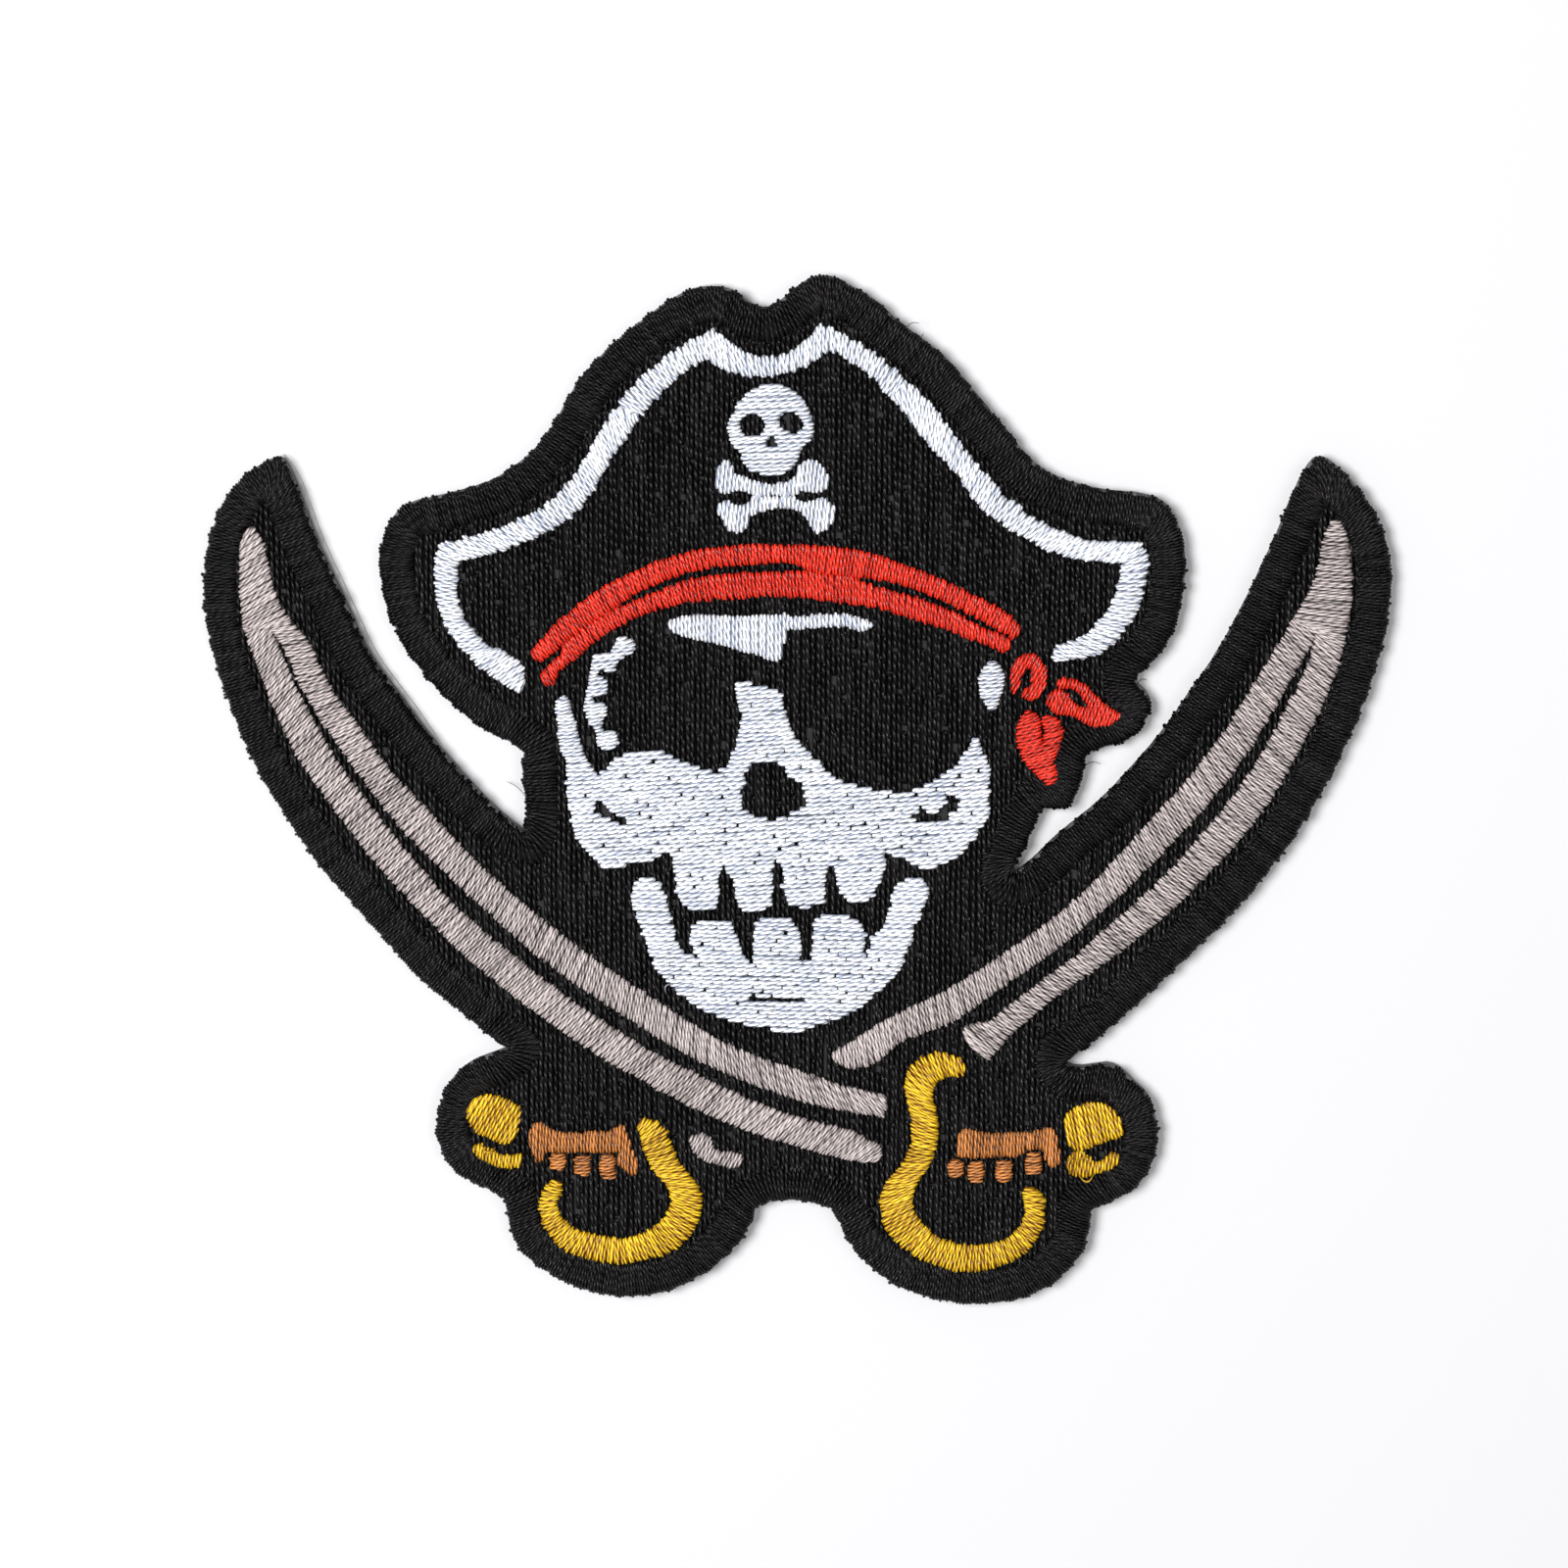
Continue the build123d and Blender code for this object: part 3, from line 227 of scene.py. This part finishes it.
def edge_pairs(outer, inner, pitch):
    """Points on the outer and inner line of a border, joined the short way, in order round it."""
    n_out, n_in = int(length_of(outer) / pitch), int(length_of(inner) / (pitch / 4))
    out_line, in_line = resample(outer, n_out, True), resample(inner, n_in, True)
    if area_of(out_line) * area_of(in_line) < 0:
        in_line = in_line[::-1]
    j = int(np.argmin(np.hypot(*(in_line - out_line[0]).T)))
    in_line = np.roll(in_line, -j, axis=0)
    place = np.zeros(n_out)
    at = 0
    for k in range(1, n_out):
        reach = np.arange(at, min(at + 60, n_in - 1))
        gaps = np.hypot(*(in_line[reach % n_in] - out_line[k]).T)
        at = int(reach[np.argmin(gaps)]) if len(reach) else at
        place[k] = at
    window = 9
    padded = np.concatenate([place[-window:] - n_in, place, place[:window] + n_in])
    smooth = np.convolve(padded, np.ones(2 * window + 1) / (2 * window + 1), "same")[window:-window]
    return out_line, in_line[np.round(smooth).astype(int) % n_in]


# ---------------------------------------------------------------- stitch meshes

def place_piece(name, mesh, parts_of, material):
    """Put a mesh in the scene as a piece that rides the one body and stands for its CAD nodes."""
    piece = bpy.data.objects.new(name, mesh)
    bpy.context.scene.collection.objects.link(piece)
    piece.data.materials.append(material)
    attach(piece, "root")
    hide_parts(*parts_of)


def tubes(name, paths, half_width, half_height, parts_of, material):
    """One mesh of closed threads. paths is stitches by rings by x, y, z in millimetres."""
    sides = THREAD_SIDES
    count, rings = paths.shape[:2]
    along = np.gradient(paths, axis=1)
    along /= np.linalg.norm(along, axis=2, keepdims=True) + 1e-9
    flat = paths[:, -1] - paths[:, 0]
    flat[:, 2] = 0
    flat /= np.linalg.norm(flat, axis=1, keepdims=True) + 1e-9
    side = np.stack([-flat[:, 1], flat[:, 0], np.zeros(count)], axis=1)[:, None, :]
    side = np.broadcast_to(side, paths.shape)
    up = np.cross(along, side)
    up *= np.sign(up[..., 2:3] + 1e-6)
    taper = np.ones(rings)
    taper[[0, -1]] = END_TAPER
    angles = np.arange(sides) * 2 * math.pi / sides
    wide = (half_width[:, None] * taper)[:, :, None, None] * np.cos(angles)[None, None, :, None]
    tall = (half_height * taper)[None, :, None, None] * np.sin(angles)[None, None, :, None]
    points = paths[:, :, None, :] + wide * side[:, :, None, :] + tall * up[:, :, None, :]
    points = points.reshape(-1, 3) * MM

    r, s = np.meshgrid(np.arange(rings - 1), np.arange(sides), indexing="ij")
    r, s = r.ravel(), s.ravel()
    quad = np.stack([r * sides + s, r * sides + (s + 1) % sides,
                     (r + 1) * sides + (s + 1) % sides, (r + 1) * sides + s], axis=1)
    last = (rings - 1) * sides
    caps = np.array([[0, 3, 2, 1], [0, 5, 4, 3], [last, last + 1, last + 2, last + 3],
                     [last, last + 3, last + 4, last + 5]])
    quad = np.vstack([quad, caps])
    faces = (quad[None] + (np.arange(count) * rings * sides)[:, None, None]).reshape(-1, 4)

    mesh = bpy.data.meshes.new(name)
    mesh.vertices.add(len(points))
    mesh.vertices.foreach_set("co", points.ravel())
    mesh.loops.add(len(faces) * 4)
    mesh.loops.foreach_set("vertex_index", faces.ravel().astype(np.int32))
    mesh.polygons.add(len(faces))
    mesh.polygons.foreach_set("loop_start", np.arange(len(faces), dtype=np.int32) * 4)
    mesh.update(calc_edges=True)
    mesh.polygons.foreach_set("use_smooth", np.ones(len(faces), bool))

    # u runs along the thread in ply turns, v once round it; each stitch starts at its own place
    travel = np.linalg.norm(np.diff(paths, axis=1), axis=2).cumsum(axis=1)
    travel = np.concatenate([np.zeros((count, 1)), travel], axis=1) / PLY_TWIST
    travel += rng.integers(0, 400, count)[:, None] + rng.random(count)[:, None]
    ring_of = np.stack([r, r, r + 1, r + 1], axis=1)
    turn_of = np.stack([s, s + 1, s + 1, s], axis=1) / sides
    cap_rings = np.array([[0] * 4, [0] * 4, [rings - 1] * 4, [rings - 1] * 4])
    ring_of = np.vstack([ring_of, cap_rings])
    turn_of = np.vstack([turn_of, np.zeros((4, 4))])
    uv = np.stack([travel[:, ring_of], np.broadcast_to(turn_of, (count,) + turn_of.shape)], axis=-1)
    layer = mesh.uv_layers.new(name="thread")
    layer.data.foreach_set("uv", uv.reshape(-1).astype(np.float32))
    place_piece(name, mesh, parts_of, material)


def flat_paths(starts, ends, low, top, bury, crown=0.0, shoulder=0.35, loose=0.022):
    """Stitches that rise out of the cloth, lie flat and dive again, as nine rings each.

    shoulder is how high a thread already is just past its needle point.
    loose is how far one strays, in millimetres.
    """
    gap = ends - starts
    size = np.hypot(*gap.T)
    marks = np.array([0.0, 0.10, 0.26, 0.52])
    part = np.minimum(marks[None] / size[:, None], np.array([0.0, 0.14, 0.28, 0.42])[None])
    part = np.concatenate([part, np.full((len(size), 1), 0.5), 1 - part[:, ::-1]], axis=1)
    near_end = (1 + shoulder) / 2
    rise = np.array([-bury, shoulder, near_end, 0.97, 1.0, 0.97, near_end, shoulder, -bury])
    xy = starts[:, None] + gap[:, None] * part[..., None]
    z = low + (top - low) * rise[None] + crown * (1 - (2 * part - 1) ** 2)
    z = z + rng.normal(0, loose, len(size))[:, None]
    across = np.stack([-gap[:, 1], gap[:, 0]], axis=1) / size[:, None]
    bow = (1 - (2 * part - 1) ** 2) * rng.normal(0, loose, len(size))[:, None]
    xy = xy + bow[..., None] * across[:, None]
    return np.concatenate([xy, z[..., None]], axis=2)


# ---------------------------------------------------------------- materials

def thread_material(name, colour, painted_shade, rough, shine, painted_shade_share=0.15):
    """Twisted two-ply thread. colour is its lit top. The second colour is painted shade on the sides of the
    thread and in the grooves between its plies, and the ply crests are painted lighter as a painted
    highlight.
    """
    mat = bpy.data.materials.new(name)
    mat.use_nodes = True
    tree = mat.node_tree
    shader = tree.nodes["Principled BSDF"]
    link = tree.links.new

    def node(kind, **values):
        made = tree.nodes.new(kind)
        for key, value in values.items():
            setattr(made, key, value)
        return made

    def maths(operation, a, b=None):
        made = node("ShaderNodeMath", operation=operation)
        for i, value in enumerate((a, b)):
            if value is None:
                continue
            if isinstance(value, (int, float)):
                made.inputs[i].default_value = value
            else:
                link(value, made.inputs[i])
        return made.outputs[0]

    uv = node("ShaderNodeUVMap", uv_map="thread")
    split = node("ShaderNodeSeparateXYZ")
    link(uv.outputs[0], split.inputs[0])
    along, around = split.outputs[0], split.outputs[1]
    phase = maths("MULTIPLY", maths("ADD", along, around), 2 * math.pi)
    ply = maths("ABSOLUTE", maths("SINE", phase))
    strands = maths("SINE", maths("MULTIPLY", maths("ADD", maths("MULTIPLY", along, 2), maths(
        "MULTIPLY", around, 7)), 2 * math.pi))
    height = maths("ADD", ply, maths("MULTIPLY", strands, 0.16))
    bump = node("ShaderNodeBump")
    bump.inputs["Strength"].default_value = 1.0
    bump.inputs["Distance"].default_value = 0.00015
    link(height, bump.inputs["Height"])
    link(bump.outputs[0], shader.inputs["Normal"])

    noise = node("ShaderNodeTexNoise")
    noise.inputs["Scale"].default_value = 0.35
    noise.inputs["Detail"].default_value = 2.0
    link(uv.outputs[0], noise.inputs["Vector"])
    spread = maths("MULTIPLY", maths("SUBTRACT", noise.outputs["Fac"], 0.5), 1.6)
    # painted light: each thread's top and its ply crests are painted lighter as a painted highlight, and its
    # sides and ply grooves darker as painted shade, added to a random tone from stitch to stitch
    painted_top_light = maths("MAXIMUM", maths("SINE", maths("MULTIPLY", around, 2 * math.pi)), 0.0)
    painted_light = maths("ADD", maths("MULTIPLY", painted_top_light, 0.55), maths("MULTIPLY", ply, 0.45))
    painted_light_and_tone = maths("ADD", maths("SUBTRACT", painted_light, 0.08), spread)
    ramp = node("ShaderNodeValToRGB")
    ramp.color_ramp.elements[0].position = painted_shade_share
    ramp.color_ramp.elements[1].position = painted_shade_share + 0.70
    ramp.color_ramp.elements[0].color = list(painted_shade) + [1]
    ramp.color_ramp.elements[1].color = list(colour) + [1]
    link(painted_light_and_tone, ramp.inputs[0])
    link(ramp.outputs[0], shader.inputs["Base Color"])
    shader.inputs["Roughness"].default_value = rough
    shader.inputs["Specular IOR Level"].default_value = shine
    return mat


def layer_material(name, colour, rough, scale, weave, clear=0.0):
    """A hidden or thin layer: a woven rib or a felted surface, or a milky film where clear is above 0."""
    mat = bpy.data.materials.new(name)
    mat.use_nodes = True
    tree = mat.node_tree
    shader = tree.nodes["Principled BSDF"]
    link = tree.links.new
    where = tree.nodes.new("ShaderNodeTexCoord")
    if weave:
        pattern = tree.nodes.new("ShaderNodeTexWave")
        pattern.bands_direction = "DIAGONAL"
        pattern.inputs["Distortion"].default_value = 0.6
    else:
        pattern = tree.nodes.new("ShaderNodeTexNoise")
        pattern.inputs["Detail"].default_value = 5.0
    pattern.inputs["Scale"].default_value = scale
    link(where.outputs["Object"], pattern.inputs["Vector"])
    ramp = tree.nodes.new("ShaderNodeValToRGB")
    ramp.color_ramp.elements[0].color = [c * 0.7 for c in colour] + [1]
    ramp.color_ramp.elements[1].color = [min(c * 1.2, 1) for c in colour] + [1]
    link(pattern.outputs["Fac"], ramp.inputs[0])
    link(ramp.outputs[0], shader.inputs["Base Color"])
    bump = tree.nodes.new("ShaderNodeBump")
    bump.inputs["Strength"].default_value = 0.5
    bump.inputs["Distance"].default_value = 0.00008
    link(pattern.outputs["Fac"], bump.inputs["Height"])
    link(bump.outputs[0], shader.inputs["Normal"])
    shader.inputs["Roughness"].default_value = rough
    if clear:
        shader.inputs["Transmission Weight"].default_value = clear
    return mat


# black thread: the first colour is its lit top, with a painted highlight on the ply crests; the second is
# painted shade on the sides of each thread and in its ply grooves
BLACK_LIT_TOP, BLACK_PAINTED_SHADE = (0.014, 0.0125, 0.0135), (0.0006, 0.0005, 0.0006)
BLACK_FINISH_AND_SHADE = (0.20, 0.18, 0.45)          # roughness, shine and how much of each thread is painted shade
BLACK = thread_material("stitched_black_thread", BLACK_LIT_TOP, BLACK_PAINTED_SHADE, *BLACK_FINISH_AND_SHADE)
BORDER_BLACK = thread_material("stitched_border_thread", BLACK_LIT_TOP, BLACK_PAINTED_SHADE, *BLACK_FINISH_AND_SHADE)
# each thread: the first colour is its lit top, with a painted highlight on the ply crests; the second is
# painted shade on the sides of each thread and in its ply grooves; the last number is how much of each
# thread is painted shade
WHITE = thread_material("stitched_white_thread", (0.93, 0.94, 0.96), (0.28, 0.33, 0.45), 0.32, 0.4, 0.20)
RED = thread_material("stitched_red_thread", (1.00, 0.040, 0.016), (0.19, 0.005, 0.004), 0.26, 0.5, 0.26)
GREY = thread_material("stitched_grey_thread", (0.62, 0.540, 0.525), (0.040, 0.032, 0.034), 0.26, 0.5, 0.24)
GOLD = thread_material("stitched_gold_thread", (1.00, 0.640, 0.022), (0.20, 0.062, 0.003), 0.24, 0.5, 0.32)
BROWN = thread_material("stitched_brown_thread", (0.72, 0.262, 0.064), (0.07, 0.020, 0.008), 0.26, 0.5, 0.26)

LAYERS = {
    "heat_seal_film": layer_material("film", (0.72, 0.72, 0.70), 0.35, 700, False, clear=0.35),
    "stiffener": layer_material("core_felt", (0.12, 0.12, 0.12), 0.95, 1500, False),
    "bobbin_threads": layer_material("bobbin_thread", (0.04, 0.04, 0.04), 0.7, 1100, True),
    "twill_ground": layer_material("black_twill", (0.009, 0.009, 0.010), 0.85, 500, True),
}
for node_name, material in LAYERS.items():
    nodes[node_name].data.materials.clear()
    nodes[node_name].data.materials.append(material)


# ---------------------------------------------------------------- the black fill and the border

COLOURED = [n for n in nodes if n not in LAYERS and n not in ("black_fill", "border")]
outlines = {n: top_loops(n) for n in COLOURED}

fill_loops = top_loops("black_fill")
starts, ends = rows(fill_loops, 90, 0.383, 4.6, jitter=0.25)
hidden = np.zeros(len(starts), bool)
for loops in outlines.values():
    under = [inside(starts + (ends - starts) * t, loops) for t in (0.02, 0.5, 0.98)]
    hidden |= under[0] & under[1] & under[2]
starts, ends = starts[~hidden], ends[~hidden]
order = np.argsort(starts[:, 0], kind="stable")
starts, ends = starts[order], ends[order]
FILL_PIECES = 4
for k, chosen in enumerate(np.array_split(np.arange(len(starts)), FILL_PIECES)):
    paths = flat_paths(starts[chosen], ends[chosen], TWILL_TOP, FILL_TOP - THREAD_RISE, 0.3,
                       shoulder=0.62, loose=0.035)
    wide = rng.normal(0.182, 0.014, len(chosen))
    tubes(f"fill_stitches_{k + 1}", paths, wide, 0.16, ["black_fill"], BLACK)

def cut_edge(name, loop, section, part_of, material):
    """A closed band that runs right round an outline. section is its corners, as outward and up."""
    line = resample(loop, 900, closed=True)
    if area_of(line) < 0:
        line = line[::-1]
    along = np.roll(line, -1, axis=0) - np.roll(line, 1, axis=0)
    along /= np.hypot(*along.T)[:, None]
    outward = np.stack([along[:, 1], -along[:, 0]], axis=1)
    count, corners = len(line), len(section)
    points = np.zeros((count, corners, 3))
    for k, (reach_out, height) in enumerate(section):
        wobble = rng.normal(0, 0.012, count)[:, None] if reach_out > 0 else 0
        points[:, k, :2] = line + outward * (reach_out + wobble)
        points[:, k, 2] = height + rng.normal(0, 0.02, count)
    i, k = [grid.ravel() for grid in np.meshgrid(np.arange(count), np.arange(corners), indexing="ij")]
    after, beside = (i + 1) % count, (k + 1) % corners
    faces = np.stack([i * corners + k, after * corners + k, after * corners + beside,
                      i * corners + beside], axis=1)
    mesh = bpy.data.meshes.new(name)
    mesh.from_pydata((points.reshape(-1, 3) * MM).tolist(), [], faces.tolist())
    mesh.update()
    place_piece(name, mesh, [part_of], material)


# the heat-cut edge of the cloth, which shows as a grey wall under the border where it is seen from above
EDGE_GREY = layer_material("cut_edge", (0.055, 0.055, 0.060), 0.6, 1300, False)
patch_loop = top_loops("stiffener")[0]
EDGE_SECTION = [(0.40, 0.32), (0.41, 0.90), (0.38, 1.42), (0.10, 1.42), (0.10, 0.32)]
cut_edge("cut_edge", patch_loop, EDGE_SECTION, "border", EDGE_GREY)

out_points, in_points = edge_pairs(patch_loop, fill_loops[0], 0.25)
inward = in_points - out_points
width = np.hypot(*inward.T)
inward = inward / width[:, None]
ragged = rng.normal(0, 0.060, len(width)) + 0.05 * np.sin(np.arange(len(width)) * 0.9)
out_points = out_points + ragged[:, None] * inward
reach = np.array([-0.24, -0.37, -0.30, 0.00, 0.45, 1.05, 1.65, 2.10, 2.28])
level = np.array([1.16, 1.40, 1.58, 1.72, 1.80, 1.83, 1.74, 1.55, 1.30])
scale = (width / 2.05)[:, None]
step = np.where(reach[None] > 0, reach[None] * scale, reach[None])
xy = out_points[:, None] + inward[:, None] * step[..., None]
z = level[None] + rng.normal(0, 0.032, len(width))[:, None]
border_paths = np.concatenate([xy, z[..., None]], axis=2)
wide = rng.normal(0.142, 0.014, len(width))
tubes("border_stitches", border_paths, wide, 0.14, ["border"], BORDER_BLACK)


# ---------------------------------------------------------------- the coloured fields

# each field is either zigzag satin: length of one pair of stitches in millimetres, then the slant in column
# widths; or parallel rows: their direction in degrees from +X, then the spacing in millimetres
SATIN, ROWS = "satin", "rows"
FIELDS = {
    "hat_trim_left": (SATIN, 0.60, 0.25),
    "hat_trim_crown": (SATIN, 0.60, 0.0),
    "hat_trim_right": (SATIN, 0.60, -0.15),
    "emblem_skull": (ROWS, 3, 0.30),
    "emblem_bones_upper": (ROWS, 84, 0.30),
    "emblem_bones_lower": (ROWS, 84, 0.30),
    "bandana_upper": (SATIN, 0.50, 0.15),
    "bandana_lower": (SATIN, 0.50, 0.15),
    "bandana_knot": (ROWS, 60, 0.25),
    "bandana_tail_side": (ROWS, 70, 0.25),
    "bandana_tail_down": (ROWS, 15, 0.25),
    "forehead_triangle": (ROWS, 90, 0.30),
    "brow_strip": (ROWS, 90, 0.30),
    "socket_edge": (ROWS, 8, 0.28),
    "temple_strip": (ROWS, 5, 0.28),
    "ear_highlight": (ROWS, 5, 0.28),
    "face_maxilla": (ROWS, 4, 0.33),
    "face_jaw": (ROWS, 0, 0.33),
    "blade_left_inner": (SATIN, 0.50, 0.0),
    "blade_left_outer": (SATIN, 0.50, 0.0),
    "blade_right_outer": (SATIN, 0.50, 0.1),
    "blade_right_inner": (SATIN, 0.50, 0.1),
    "blade_glint": (ROWS, 60, 0.25),
    "guard_left": (SATIN, 0.50, 0.1),
    "guard_right": (SATIN, 0.50, 0.1),
    "pommel_left": (ROWS, 58, 0.28),
    "pommel_left_collar": (ROWS, 80, 0.25),
    "pommel_right": (ROWS, 102, 0.28),
    "pommel_right_collar": (ROWS, 80, 0.25),
    "grip_left": (ROWS, 88, 0.25),
    "grip_left_ridges": (ROWS, 4, 0.25),
    "grip_right": (ROWS, 88, 0.25),
    "grip_right_ridges": (ROWS, 4, 0.25),
}
# the thread of each field, by the first word of its name; every other field is white
SLOT_OF = {"bandana": "red_thread", "blade": "grey_thread", "guard": "gold_thread", "pommel": "gold_thread",
           "grip": "brown_thread"}
MATERIAL_OF = {"white_thread": WHITE, "red_thread": RED, "grey_thread": GREY, "gold_thread": GOLD,
               "brown_thread": BROWN}
for name in COLOURED:
    layout, first, second = FIELDS[name]
    loops = outlines[name]
    face = name.startswith("face")
    if layout == SATIN:
        starts, ends = satin(loops[0], first, second, jitter=0.09 if name.startswith("hat") else 0.06)
        wide = first / 2 * 0.56
        crown = 0.10
    else:
        over = 0.0 if name.startswith(("grip", "emblem", "brow", "socket")) else 0.06
        starts, ends = rows(loops, first, second, 2.2 if face else 6.0, over, 0.09 if face else 0.05)
        wide = second * (0.58 if face else 0.54)
        crown = 0.0 if face else 0.06
    shoulder, loose = (0.42, 0.014) if face else (0.35, 0.024)
    paths = flat_paths(starts, ends, FILL_TOP, COLOUR_TOP - THREAD_RISE, 0.8, crown, shoulder, loose)
    widths = rng.normal(wide, wide * 0.07, len(starts))
    if not face:
        # the same thread laid underneath first, so that no ground shows between the top stitches
        gap = ends - starts
        short = gap / np.hypot(*gap.T)[:, None] * 0.10
        under = flat_paths(starts + short, ends - short, FILL_TOP - 0.05, COLOUR_TOP - 0.25, 0.5, crown,
                           shoulder=0.6, loose=0.005)
        paths = np.concatenate([under, paths])
        widths = np.concatenate([np.full(len(starts), wide * 1.25), widths])
    slot_name = SLOT_OF.get(name.split("_")[0], "white_thread")
    tubes(f"{name}_stitches", paths, widths, 0.15, [name], MATERIAL_OF[slot_name])


# ---------------------------------------------------------------- loose fibres and loops of thread

def strands(name, lines, radius, slot_name, part_of, material):
    """Fine loose fibres. Each line is start x, y, end x, y, sideways bulge and height, in millimetres."""
    part = np.linspace(0, 1, 13)[:, None]
    paths = []
    for x0, y0, x1, y1, bulge, z in lines:
        a, b = np.array([x0, y0]), np.array([x1, y1])
        aside = np.array([-(b - a)[1], (b - a)[0]])
        xy = a + (b - a) * part + aside * bulge * 4 * part * (1 - part)
        height = z + 0.12 * np.sin(part * math.pi)
        paths.append(np.hstack([xy, height]))
    tubes(name, np.array(paths), np.full(len(paths), radius), radius, [part_of], material)


FUZZ = [(8.6, 35.6, 9.6, 36.3, 0.3, 1.6), (8.9, 35.2, 9.9, 35.6, -0.3, 1.7),
        (-22.0, 0.8, -20.3, -2.0, 0.2, 0.6), (22.1, 2.3, 23.5, 2.9, 0.3, 0.7),
        (26.2, 9.2, 26.9, 9.5, 0.3, 1.2), (16.9, -1.1, 17.9, -0.5, 0.8, 2.0)]
RANDOM_FIBRES = 46
chosen = rng.choice(len(out_points), RANDOM_FIBRES, replace=False)
for k in chosen:
    p, away_from = out_points[k], -inward[k]
    lean = np.array([-away_from[1], away_from[0]]) * rng.normal(0, 0.5)
    tip = p + (away_from + lean) * rng.uniform(0.25, 0.55)
    base = p - away_from * 0.5
    FUZZ.append((*base, *tip, rng.normal(0, 0.3), rng.uniform(0.9, 1.75)))
strands("border_fuzz", FUZZ, 0.028, "black_border_thread", "border", BORDER_BLACK)
CURL_RADIUS, LOOP_RADIUS = 0.045, 0.085
JAW_CURLS = [(3.0, -17.6, 3.9, -17.0, 0.6, 1.95), (-9.6, -15.4, -8.9, -14.7, 0.5, 1.95)]
strands("jaw_curls", JAW_CURLS, CURL_RADIUS, "white_thread", "face_jaw", WHITE)
RIGHT_LOOPS = [(22.2, -28.9, 23.4, -28.8, -0.55, 2.0), (21.7, -28.9, 22.1, -27.5, 0.35, 2.05),
               (22.2, -28.4, 23.0, -27.6, 0.4, 2.1)]
strands("collar_loops_right", RIGHT_LOOPS, LOOP_RADIUS, "gold_thread", "pommel_right_collar", GOLD)
LEFT_LOOPS = [(-24.1, -27.7, -23.0, -27.9, -0.4, 2.0)]
strands("collar_loops_left", LEFT_LOOPS, LOOP_RADIUS, "gold_thread", "pommel_left_collar", GOLD)


# ---------------------------------------------------------------- cloth layers


for name, under in (("twill_ground", "bobbin_threads"), ("stiffener", "heat_seal_film")):
    loop = top_loops(name)[0]


# ---------------------------------------------------------------- floor, light and camera

floor_mesh = bpy.data.meshes.new("floor")
half = 2.0
corners = [(-half, -half, 0), (half, -half, 0), (half, half, 0), (-half, half, 0)]
floor_mesh.from_pydata(corners, [], [(0, 1, 2, 3)])
floor = bpy.data.objects.new("floor", floor_mesh)
bpy.context.scene.collection.objects.link(floor)
floor_material = bpy.data.materials.new("floor_paper")
floor_material.use_nodes = True
floor_shader = floor_material.node_tree.nodes["Principled BSDF"]
floor_shader.inputs["Base Color"].default_value = (0.58, 0.58, 0.59, 1)
floor_shader.inputs["Roughness"].default_value = 0.9
floor.data.materials.append(floor_material)

world = bpy.data.worlds.new("studio")
bpy.context.scene.world = world
world.use_nodes = True
world.node_tree.nodes["Background"].inputs[0].default_value = (1, 1, 1, 1)
world.node_tree.nodes["Background"].inputs[1].default_value = 0.30


def area_light(name, place, size, power):
    lamp = bpy.data.lights.new(name, "AREA")
    lamp.shape = "DISK"
    lamp.size = size
    lamp.energy = power
    holder = bpy.data.objects.new(name, lamp)
    holder.location = place
    aim = mathutils.Vector((0, 0, 0)) - holder.location
    holder.rotation_euler = aim.to_track_quat("-Z", "Y").to_euler()
    bpy.context.scene.collection.objects.link(holder)


area_light("key", (-0.25, 0.11, 0.60), 0.32, 6.0)
area_light("fill", (0.26, 0.02, 0.64), 0.50, 1.5)

# the camera looks down on the patch, tilted 12 degrees from straight above
tilt, heading, distance = math.radians(12), math.radians(66), 0.360
target = mathutils.Vector((-0.00055, 0.00114, 0.0016))
sideways = math.sin(tilt)
away = mathutils.Vector((sideways * math.cos(heading), sideways * math.sin(heading), math.cos(tilt)))
right = (-away).cross(mathutils.Vector((0, 1, 0))).normalized()
above = away.cross(right)
camera_data = bpy.data.cameras.new("camera")
camera_data.sensor_width = 36
camera_data.lens = 108.54
camera = bpy.data.objects.new("camera", camera_data)
turn = mathutils.Matrix((right, above, away)).transposed().to_4x4()
camera.matrix_world = mathutils.Matrix.Translation(target + away * distance) @ turn
bpy.context.scene.collection.objects.link(camera)
bpy.context.scene.camera = camera
bpy.context.scene.view_settings.view_transform = "Standard"
